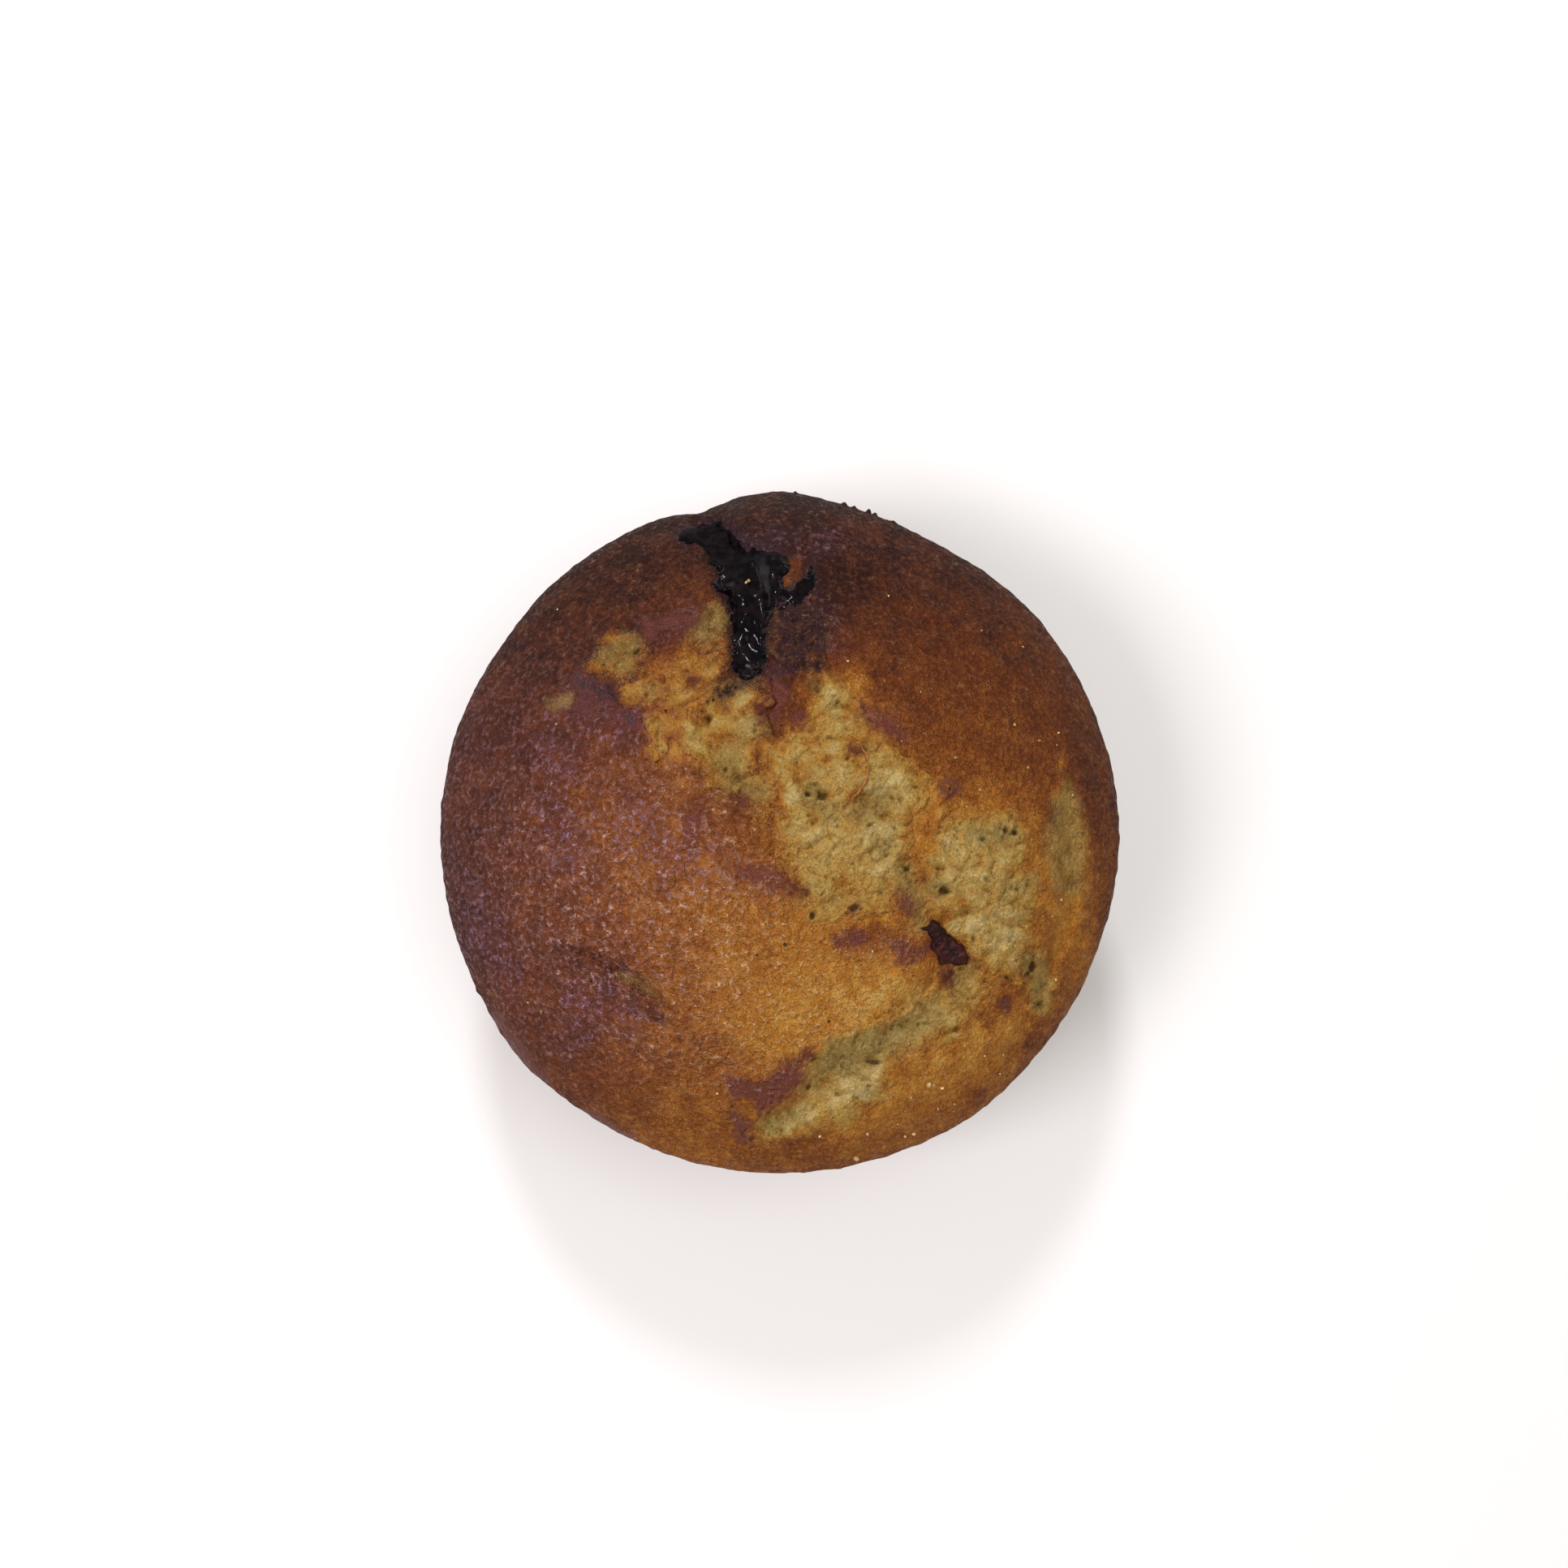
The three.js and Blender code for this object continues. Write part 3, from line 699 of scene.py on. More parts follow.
    def swelling(self, x: Array, y: Array) -> Array:
        """Rise of all the swellings.

        Args:
            x: X of the points.
            y: Y of the points.

        Returns:
            Rise at each point.
        """
        rise = np.zeros(np.shape(x))
        for cx, cy, rx, ry, top in self.swellings:
            rise += top * np.exp(-(((x - cx) / rx) ** 2) - ((y - cy) / ry) ** 2)
        return rise

    def hole_depth(self, x: Array, y: Array, wobble: Array) -> Array:
        """Depth of the holes in the crumb.

        Args:
            x: X of the points.
            y: Y of the points.
            wobble: How far each point is shifted, which makes the holes uneven.

        Returns:
            Depth at each point, about the hole's own radius in its middle.
        """
        depth = np.zeros(np.shape(x))
        for cx, cy, radius, stretch, bearing in self.holes:
            along, across = turned(x - cx, y - cy, math.radians(bearing))
            gap = np.hypot(along / stretch, across) + 0.7 * radius * wobble
            depth = np.maximum(depth, 1.3 * radius * soft(gap, 1.2 * radius, 0.2 * radius))
        return depth

    def crust_doneness(self, x: Array, y: Array) -> Array:
        """Browning of the untorn crust, blended between the places named in browning.

        Args:
            x: X of the points.
            y: Y of the points.

        Returns:
            Doneness at each point.
        """
        weights = np.full(np.shape(x), 1e-6)
        total = weights * 0.6
        for cx, cy, reach, level in self.browning:
            weight = np.exp(-((x - cx) ** 2 + (y - cy) ** 2) / reach**2)
            weights = weights + weight
            total = total + weight * level
        return total / weights

    def sheen_spread(self, x: Array, y: Array) -> Array:
        """How strongly the crust's grains shine, as painted highlights and specular: most on the left in
        front.

        Args:
            x: X of the points.
            y: Y of the points.

        Returns:
            Weights from 0 to 1.
        """
        near = np.exp(-(((x + 19) / 22) ** 2) - ((y + 10) / 20) ** 2)
        middle = np.exp(-(((x - 2) / 22) ** 2) - ((y + 26) / 14) ** 2)
        return np.clip(0.12 + 0.9 * near + 0.4 * middle, 0.0, 1.0)

    def marks(
        self, trails: tuple[Trail, ...], x: Array, y: Array, wobble: Array, edge: float
    ) -> Array:
        """How strongly points lie inside any of several routes.

        Args:
            trails: The routes.
            x: X of the points.
            y: Y of the points.
            wobble: How far the routes' edges are shifted at each point.
            edge: Half width of the soft edge.

        Returns:
            Weights from 0 to 1.
        """
        inside = np.max([trail.inside(x, y) for trail in trails], axis=0)
        return soft(inside + wobble, -edge, edge)


# ---- The cake ----


@dataclass
class Loaf:
    """The cake's own shape: dome, rim, wall and base, as one closed mesh."""

    rim_radius: float
    height: float
    rim_share: float = 31.0 / 52.0  # height of the rim against that of the smooth dome
    flatness: float = 2.3
    shoulder: float = 0.8
    base_inset: float = 4.1
    base_fillet: float = 4.5
    lip_depth: float = 1.8
    lip_undercut: float = 0.7
    rim_swells: Triples = (
        (0, 0.3, 12), (62, -1.0, 15), (90, 0.9, 7), (104, -1.0, 4), (146, -0.4, 9), (222, 0.6, 9),
        (305, 0.35, 10),
    )
    rim_teeth: Triples = (
        (73.4, 0.7, 0.28), (74.6, 1.0, 0.3), (77.2, 0.5, 0.4), (79.0, 0.45, 0.35), (87.5, 0.4, 0.3),
        (70.0, 0.35, 0.5), (208.0, 0.3, 0.8),
    )
    dome_rings: int = 150
    ring_step: int = 6
    wall_rows: int = 24
    fillet_rows: int = 5
    under_crumb: float = 1.6
    plan: DomePlan = field(default_factory=DomePlan)

    def __post_init__(self) -> None:
        """Works out the heights and draws the noise."""
        self.rim_height = self.height * self.rim_share
        self.rise = self.height - self.rim_height
        self.coarse = Grain(11)
        self.fine = Grain(23)

    @classmethod
    def around(cls, node: str) -> "Loaf":
        """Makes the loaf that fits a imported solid.

        Args:
            node: Name of the solid.

        Returns:
            The loaf, with its radius and height taken from the solid's box.
        """
        low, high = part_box(node)
        swell = 0.28  # how far the rim's swellings reach past its plain circle
        dome, whole = 52.0, 53.35  # heights of the smooth dome and of the solid with its swellings
        radius = (high[0] - low[0]) / 2 / MM - swell
        return cls(rim_radius=radius, height=dome / whole * (high[2] - low[2]) / MM)

    def rim_at(self, angle: Array) -> Array:
        """Radius of the rim at angles, without its ragged edge."""
        return with_bumps(np.full(np.shape(angle), self.rim_radius), angle, self.rim_swells)

    def ragged_edge(self, angle: Array) -> Array:
        """How far the crust's torn edge stands out past the rim, crumbs and teeth included.

        Args:
            angle: Angles round the cake, in radians.

        Returns:
            How far it stands out at each angle.
        """
        reach = self.rim_radius
        wave = self.fine.layered(reach * np.cos(angle), reach * np.sin(angle), 0, 2.4, 3)
        return with_bumps(0.16 * wave, angle, self.rim_teeth)

    def dome_at(self, share: Array) -> Array:
        """Height of the smooth dome at shares of the rim's radius."""
        fall = np.clip(1.0 - share**self.flatness, 0.0, 1.0)
        return self.rim_height + self.rise * fall**self.shoulder

    def torn_at(self, x: Array, y: Array) -> Array:
        """How far crumb shows, with uneven edges.

        Args:
            x: X of the points.
            y: Y of the points.

        Returns:
            Weights from 0 to 1.
        """
        wobble = self.edge_wobble(x, y)
        torn = np.zeros(np.shape(x))
        for zone in self.plan.zones:
            if zone.is_torn:
                inside = zone.inside(x, y) + zone.calm * wobble
                torn = np.maximum(torn, soft(inside, -1.3 * zone.edge, 0.8 * zone.edge))
        return torn

    def edge_wobble(self, x: Array, y: Array) -> Array:
        """How far the edges of torn and browned places stray.

        Args:
            x: X of the points.
            y: Y of the points.

        Returns:
            Shift of the edges at each point.
        """
        broad = self.coarse.layered(x, y, 0, 4.2, 2)
        narrow = self.coarse.layered(x, y, 40, 1.6, 3)
        return 1.4 * broad + 0.8 * narrow

    def relief(self, x: Array, y: Array) -> Array:
        """Height of the top's relief over the smooth dome.

        Args:
            x: X of the points.
            y: Y of the points.

        Returns:
            Height at each point.
        """
        wobble = self.edge_wobble(x, y)
        torn = self.torn_at(x, y)
        lip = np.zeros(np.shape(x))
        for zone in self.plan.zones:
            if zone.is_torn and zone.edge <= 1.0:
                inside = zone.inside(x, y) + zone.calm * wobble
                lip = np.maximum(lip, np.exp(-(((inside + 1.0) / 0.9) ** 2)))
        lip = lip * (1 - torn) * soft(self.coarse.at(x, y, 90, 5.0), -0.1, 0.6)
        lumps = self.coarse.layered(x, y, 60, 9.0, 2)
        crumbs = self.fine.layered(x, y, 0, 2.2, 3)
        height = self.plan.swelling(x, y) - self.plan.crack_depth(x, y)
        height = height + 0.2 * lip - 0.3 * torn + 0.3 * lumps
        return height + torn * (0.45 * crumbs - 0.3 * self.damp_and_shade_at(x, y, torn))

    def damp_and_shade_at(self, x: Array, y: Array, torn: Array) -> Array:
        """How grey-green the crumb is at points, 0 to 1: moist, and painted shade in its hollows.

        Args:
            x: X of the points.
            y: Y of the points.
            torn: How far crumb shows at each point.

        Returns:
            Weights from 0 to 1.
        """
        cloud = self.fine.layered(x, y, 77, 4.5, 3)
        trails = np.max([trail.inside(x, y) for trail in self.plan.olive], axis=0)
        marked = 0.85 * soft(trails + 0.6 * cloud, -1.5, 1.3)
        return np.maximum(marked, 0.4 * torn * soft(cloud, 0.1, 0.9))

    def top_at(self, x: Array, y: Array) -> Array:
        """Height of the cake's top at points inside the rim."""
        share = np.minimum(1.0, np.hypot(x, y) / self.rim_at(np.arctan2(y, x)))
        return self.dome_at(share) + soft(share, 1.0, 0.93) * self.relief(x, y)

    def ring_shares(self) -> Array:
        """Places rings evenly along the dome's slope.

        Returns:
            Their shares of the rim's radius, from the middle outwards.
        """
        fine = np.linspace(0.0, 1.0, 2000)
        steps = np.hypot(np.diff(fine) * self.rim_radius, np.diff(self.dome_at(fine)))
        length = np.concatenate([[0.0], np.cumsum(steps)])
        return np.interp(np.linspace(0.0, length[-1], self.dome_rings + 1), length, fine)

    def wall_profile(self) -> list[tuple[float, float]]:
        """Lists the rows of the wall from under the rim to the base.

        Returns:
            Inset from the rim and height of each row.
        """
        top = (self.lip_undercut, self.rim_height - self.lip_depth)
        foot = (self.base_inset, self.base_fillet)
        rows = [
            (0.02, self.rim_height - 0.25 * self.lip_depth),
            (0.22, self.rim_height - 0.6 * self.lip_depth),
            top,
        ]
        for row in range(1, self.wall_rows + 1):
            share = row / self.wall_rows
            rows.append((top[0] + share * (foot[0] - top[0]), top[1] + share * (foot[1] - top[1])))
        for row in range(1, self.fillet_rows + 1):
            turn = math.pi / 2 * row / self.fillet_rows
            rows.append(
                (
                    foot[0] + self.base_fillet * (1 - math.cos(turn)),
                    self.base_fillet * (1 - math.sin(turn)),
                )
            )
        reach = self.rim_radius - foot[0] - self.base_fillet
        rows += [(self.rim_radius - reach * share, 0.0) for share in (0.75, 0.5, 0.25)]
        return rows

    def points_and_faces(self) -> tuple[Array, Array, int]:
        """Lays out the whole mesh.

        Returns:
            The points in millimetres, the triangles, and how many of the points are the top's.
        """
        blocks = [np.array([[0.0, 0.0, float(self.top_at(np.zeros(1), np.zeros(1))[0])]])]
        faces: list[Array] = []
        shares = self.ring_shares()
        inner, size = 0, 1
        for ring in range(1, self.dome_rings + 1):
            count = ring * self.ring_step
            angle = 2 * np.pi * np.arange(count) / count
            radius = shares[ring] * self.rim_at(angle)
            x, y = radius * np.cos(angle), radius * np.sin(angle)
            height = self.top_at(x, y) - self.under_crumb * soft(self.torn_at(x, y), 0.3, 0.9)
            if ring == self.dome_rings:
                radius = radius + self.ragged_edge(angle)
            blocks.append(np.stack([radius * np.cos(angle), radius * np.sin(angle), height], axis=1))
            faces.append(self.ring_faces(ring, inner, size))
            inner, size = size, size + count
        top_count = size
        count = self.dome_rings * self.ring_step
        angle = 2 * np.pi * np.arange(count) / count
        start = size - count
        here = np.arange(count)
        there = (here + 1) % count
        for inset, height in self.wall_profile():
            share = height / self.rim_height
            swell = (self.rim_at(angle) - self.rim_radius) * share
            sag = 0.3 * np.sin(5 * angle + 1) * share * (1 - share)
            ragged = 0.55 * self.ragged_edge(angle) * soft(np.array(share), 0.93, 1.0)
            radius = self.rim_radius - inset + swell + sag + ragged
            blocks.append(
                np.stack([radius * np.cos(angle), radius * np.sin(angle), np.full(count, height)], axis=1)
            )
            faces.append(np.stack([start + here, start + count + here, start + count + there], axis=1))
            faces.append(np.stack([start + here, start + count + there, start + there], axis=1))
            start += count
        blocks.append(np.zeros((1, 3)))
        faces.append(np.stack([np.full(count, start + count), start + there, start + here], axis=1))
        return np.concatenate(blocks), np.concatenate(faces), top_count

    def ring_faces(self, ring: int, inner: int, outer: int) -> Array:
        """Triangles between a ring of the web and the ring inside it.

        Args:
            ring: Number of the outer ring, from 1.
            inner: First point of the inner ring.
            outer: First point of the outer ring.

        Returns:
            The triangles' corners.
        """
        side, step = np.divmod(np.arange(ring * self.ring_step), ring)
        count = ring * self.ring_step
        inner_count = max(1, (ring - 1) * self.ring_step)
        out_a = outer + side * ring + step
        out_b = outer + (side * ring + step + 1) % count
        in_a = inner + (side * (ring - 1) + step) % inner_count
        in_b = inner + (side * (ring - 1) + step + 1) % inner_count
        outward = np.stack([out_a, out_b, in_a], axis=1)
        inward = np.stack([out_b, in_b, in_a], axis=1)[step < ring - 1]
        return np.concatenate([outward, inward])

    def top_masks(self, x: Array, y: Array) -> dict[Mask, Array]:
        """Works out what points of the top carry for their colour.

        Args:
            x: X of the points.
            y: Y of the points.

        Returns:
            The values of each mask.
        """
        plan = self.plan
        wobble = self.edge_wobble(x, y)
        torn = self.torn_at(x, y)
        doneness = plan.crust_doneness(x, y) + 0.05 * self.coarse.layered(x, y, 9, 7.0, 3)
        toasted = np.zeros(np.shape(x))
        for zone in (*plan.zones, *plan.spots):
            weight = zone.weight(x, y, wobble)
            toasted = np.maximum(toasted, weight)
            doneness = doneness + weight * (zone.level - doneness)
        # painted cool sheen along the listed routes, where a cool light is reflected
        cool = plan.marks(plan.cool_sheen_trails, x, y, 1.2 * wobble, 2.6)
        mottle = self.fine.layered(x, y, 5, 2.6, 3)
        doneness = doneness + mottle * (0.03 + 0.08 * toasted)
        spots = self.fine.layered(x, y, 31, 0.9, 2)
        halo = plan.marks(plan.caramel, x, y, 0.6 * wobble + 1.0, 1.6)
        # painted cool sheen over the left of the dome
        left_sheen = soft(x, 2.0, -26.0) * soft(y, 34.0, 10.0) * soft(y, -44.0, -24.0)
        share = np.hypot(x, y) / self.rim_at(np.arctan2(y, x))
        doneness = doneness + 0.35 * halo * np.clip(0.52 - doneness, 0.0, 1.0)
        doneness = doneness + 0.05 * soft(share, 0.97, 1.0)
        return {
            Mask.DONENESS: doneness,
            Mask.TORN: soft(torn, 0.1, 0.8),
            Mask.CARAMEL: plan.marks(plan.caramel, x, y, 0.6 * spots + 0.35 * wobble + 0.1, 0.85),
            Mask.STAIN: plan.marks(plan.stains, x, y, 0.8 * spots + 0.45 * wobble, 0.9),
            Mask.OLIVE: self.damp_and_shade_at(x, y, torn),
            Mask.SHEEN: plan.sheen_spread(x, y),
            Mask.BLOOM: (0.45 * left_sheen + 0.55 * cool) * (1 - 0.8 * torn),
        }

    def masks(self, points: Array, top_count: int) -> dict[Mask, Array]:
        """Works out what every point of the mesh carries.

        Args:
            points: Points of the mesh, in millimetres.
            top_count: How many of them, from the first, are the top's.

        Returns:
            The values of each mask.
        """
        x, y, z = points.T
        values = self.top_masks(x, y)
        side = np.zeros(len(points))
        side[top_count:] = 1.0
        # the wall's browning: darker near its foot, and darker towards its top partly as painted shade under
        # the rim's lip
        wall = 0.68 + 0.1 * self.coarse.layered(x, y, z, 8.0, 3)
        wall = wall + 0.1 * soft(z, 4.0, 0.0) + 0.2 * soft(z, 20.0, 29.0)
        blend = soft(z, self.rim_height - 1.0, self.rim_height - 4.0) * side
        share = np.hypot(x, y) / self.rim_at(np.arctan2(y, x))
        values[Mask.SHEEN] *= 1 - 0.9 * side
        values[Mask.BLOOM] *= 1 - 0.8 * side
        # darker just under the rim: painted shade under its lip
        values[Mask.DONENESS] += 0.14 * side
        values = {mask: value * (1 - blend) for mask, value in values.items()}
        values[Mask.DONENESS] += wall * blend
        values[Mask.TORN] *= 1 - side
        values[Mask.SIDE] = side
        values[Mask.CALM] = soft(share, 0.97, 0.995) * (1 - side) + side * soft(z, 3.0, 1.0)
        return values

    def build(self) -> bpy.types.Object:
        """Makes the cake's mesh with its masks.

        Returns:
            The object, without fine relief or material.
        """
        points, faces, top_count = self.points_and_faces()
        mesh = mesh_from(points, faces, "loaf_form")
        carry(mesh, self.masks(points, top_count))
        return show(bpy.data.objects.new("loaf_form", mesh))


def mesh_from(points: Array, faces: Array, name: str) -> bpy.types.Mesh:
    """Makes a smooth triangle mesh.

    Args:
        points: Points in millimetres.
        faces: Corner numbers of the triangles.
        name: Name of the mesh.

    Returns:
        The mesh, in metres.
    """
    mesh = bpy.data.meshes.new(name)
    mesh.vertices.add(len(points))
    mesh.vertices.foreach_set("co", (points * MM).astype(np.float32).ravel())
    mesh.loops.add(faces.size)
    mesh.loops.foreach_set("vertex_index", faces.astype(np.int32).ravel())
    mesh.polygons.add(len(faces))
    mesh.polygons.foreach_set("loop_start", np.arange(0, faces.size, 3, dtype=np.int32))
    mesh.polygons.foreach_set("loop_total", np.full(len(faces), 3, dtype=np.int32))
    mesh.polygons.foreach_set("use_smooth", np.ones(len(faces), dtype=bool))
    mesh.update(calc_edges=True)
    mesh.validate()
    return mesh


def carry(mesh: bpy.types.Mesh, masks: dict[Mask, Array]) -> None:
    """Stores the values of masks on a mesh's points.

    Args:
        mesh: The mesh.
        masks: The values of each mask, one for each point.
    """
    for mask, values in masks.items():
        layer = mesh.attributes.new(mask.value, "FLOAT", "POINT")
        layer.data.foreach_set("value", np.ascontiguousarray(values, dtype=np.float32))


def show(piece: bpy.types.Object) -> bpy.types.Object:
    """Links an object to the scene and returns it."""
    bpy.context.scene.collection.objects.link(piece)
    return piece


def dressed(mesh: bpy.types.Mesh, finish: bpy.types.Material) -> bpy.types.Object:
    """Gives a mesh its material and shows it as an object of the mesh's name."""
    mesh.materials.append(finish)
    return show(bpy.data.objects.new(mesh.name, mesh))


# ---- Node trees ----


class Wiring:
    """Adds nodes to a tree and links them, for materials and Geometry Nodes alike."""

    def __init__(self, tree: bpy.types.NodeTree) -> None:
        """Keeps the tree that nodes are added to."""
        self.tree = tree

    def node(self, kind: str, feeds: dict | None = None, **settings: object) -> bpy.types.Node:
        """Adds a node.

        Args:
            kind: Type of the node.
            feeds: What goes into its inputs, by name or number: a socket or a plain value.
            settings: The node's own settings.

        Returns:
            The node.
        """
        made = self.tree.nodes.new(kind)
        for name, value in settings.items():
            setattr(made, name, value)
        for key, value in (feeds or {}).items():
            self.feed(made.inputs[key], value)
        return made

    def feed(self, socket: Socket, value: object) -> None:
        """Links a socket to another, or sets its plain value.

        Args:
            socket: The input.
            value: An output that it is linked to, or a plain value.
        """
        if isinstance(value, Socket):
            self.tree.links.new(value, socket)
        else:
            socket.default_value = value

    def chain(self, operation: str, first: object, *others: object) -> Socket:
        """Takes values together in turn, by Math nodes of one operation.

        Args:
            operation: What each node does.
            first: The first value, a socket or a number.
            others: The values that follow.

        Returns:
            The result.
        """
        result = first
        for other in others:
            result = self.node("ShaderNodeMath", {0: result, 1: other}, operation=operation).outputs[0]
        return result

    def plus(self, first: object, *others: object) -> Socket:
        """Adds values up."""
        return self.chain("ADD", first, *others)

    def minus(self, first: object, second: object) -> Socket:
        """Takes the second value from the first."""
        return self.chain("SUBTRACT", first, second)

    def times(self, first: object, *others: object) -> Socket:
        """Multiplies values."""
        return self.chain("MULTIPLY", first, *others)

    def most(self, first: object, *others: object) -> Socket:
        """Takes the largest of values."""
        return self.chain("MAXIMUM", first, *others)

    def off_middle(self, noise: Socket) -> Socket:
        """Measures how far a noise is from 0.5, its middle, either way."""
        return self.chain("ABSOLUTE", self.minus(noise, 0.5), 0.0)

    def scaled(self, vector: Socket, factor: object) -> Socket:
        """Scales a vector."""
        made = self.node("ShaderNodeVectorMath", {0: vector, "Scale": factor}, operation="SCALE")
        return made.outputs[0]

    def spot(self) -> Socket:
        """Reads the place on the piece, in metres."""
        return self.node("ShaderNodeTexCoord").outputs["Object"]

    def place(self) -> Socket:
        """Reads the place on the piece, in millimetres."""
        return self.scaled(self.spot(), 1 / MM)

    def mask(self, mask: Mask) -> Socket:
        """Reads a mask in a material."""
        made = self.node("ShaderNodeAttribute", attribute_name=mask.value, attribute_type="GEOMETRY")
        return made.outputs["Fac"]

    def carried(self, mask: Mask) -> Socket:
        """Reads a mask in Geometry Nodes."""
        made = self.node("GeometryNodeInputNamedAttribute", {"Name": mask.value}, data_type="FLOAT")
        return made.outputs[0]

    def rise(
        self, value: object, low: float, high: float, bottom: float = 0.0, top: float = 1.0
    ) -> Socket:
        """Maps a value smoothly from one range to another.

        Args:
            value: The value.
            low: Where the change starts. It may be above high.
            high: Where the change ends.
            bottom: The result at low.
            top: The result at high.

        Returns:
            The result.
        """
        feeds = {"Value": value, "From Min": low, "From Max": high, "To Min": bottom, "To Max": top}
        made = self.node("ShaderNodeMapRange", feeds, interpolation_type="SMOOTHSTEP")
        return made.outputs[0]

    def between(self, share: object, none: object, full: object) -> Socket:
        """Mixes two numbers: the first at a share of 0, the second at 1."""
        return self.node("ShaderNodeMix", {0: share, 2: none, 3: full}, data_type="FLOAT").outputs[0]

    def blend(self, share: object, none: object, full: object, how: str = "MIX") -> Socket:
        """Mixes two colours: the first at a share of 0, the second at 1."""
        made = self.node("ShaderNodeMix", {0: share, 6: none, 7: full}, data_type="RGBA", blend_type=how)
        return made.outputs[2]

    def noise(
        self,
        place: Socket,
        scale: float,
        detail: float = 2.0,
        roughness: float = 0.5,
        distortion: float = 0.0,
    ) -> Socket:
        """Adds a Noise Texture.

        Args:
            place: Where the noise is read.
            scale: Its cells to a unit of the place.
            detail: How many finer layers it has.
            roughness: How strong these are.
            distortion: How far it is bent by itself.

        Returns:
            Its grey value, which lies about 0.5.
        """
        sizes = {"Scale": scale, "Detail": detail, "Roughness": roughness, "Distortion": distortion}
        return self.node("ShaderNodeTexNoise", {"Vector": place, **sizes}).outputs[0]

    def ramp(self, value: Socket, stops: tuple[tuple[float, Colour], ...]) -> Socket:
        """Turns a value into a colour.

        Args:
            value: The value.
            stops: Places on the value's range, with their colours.

        Returns:
            The colour.
        """
        made = self.node("ShaderNodeValToRGB", {0: value})
        elements = made.color_ramp.elements
        for place, colour in stops[2:]:
            elements.new(place).color = colour
        for element, (place, colour) in zip(elements, sorted(stops)):
            element.position = place
            element.color = colour
        return made.outputs[0]

    def bump(self, shader: bpy.types.Node, height: Socket, distance: float, strength: float) -> None:
        """Makes a shader's surface look raised.

        Args:
            shader: The shader.
            height: The height, as a share of the distance.
            distance: What a height of 1 stands for, in metres.
            strength: Share of the effect.
        """
        made = self.node("ShaderNodeBump", {"Strength": strength, "Distance": distance, "Height": height})
        self.feed(shader.inputs["Normal"], made.outputs[0])


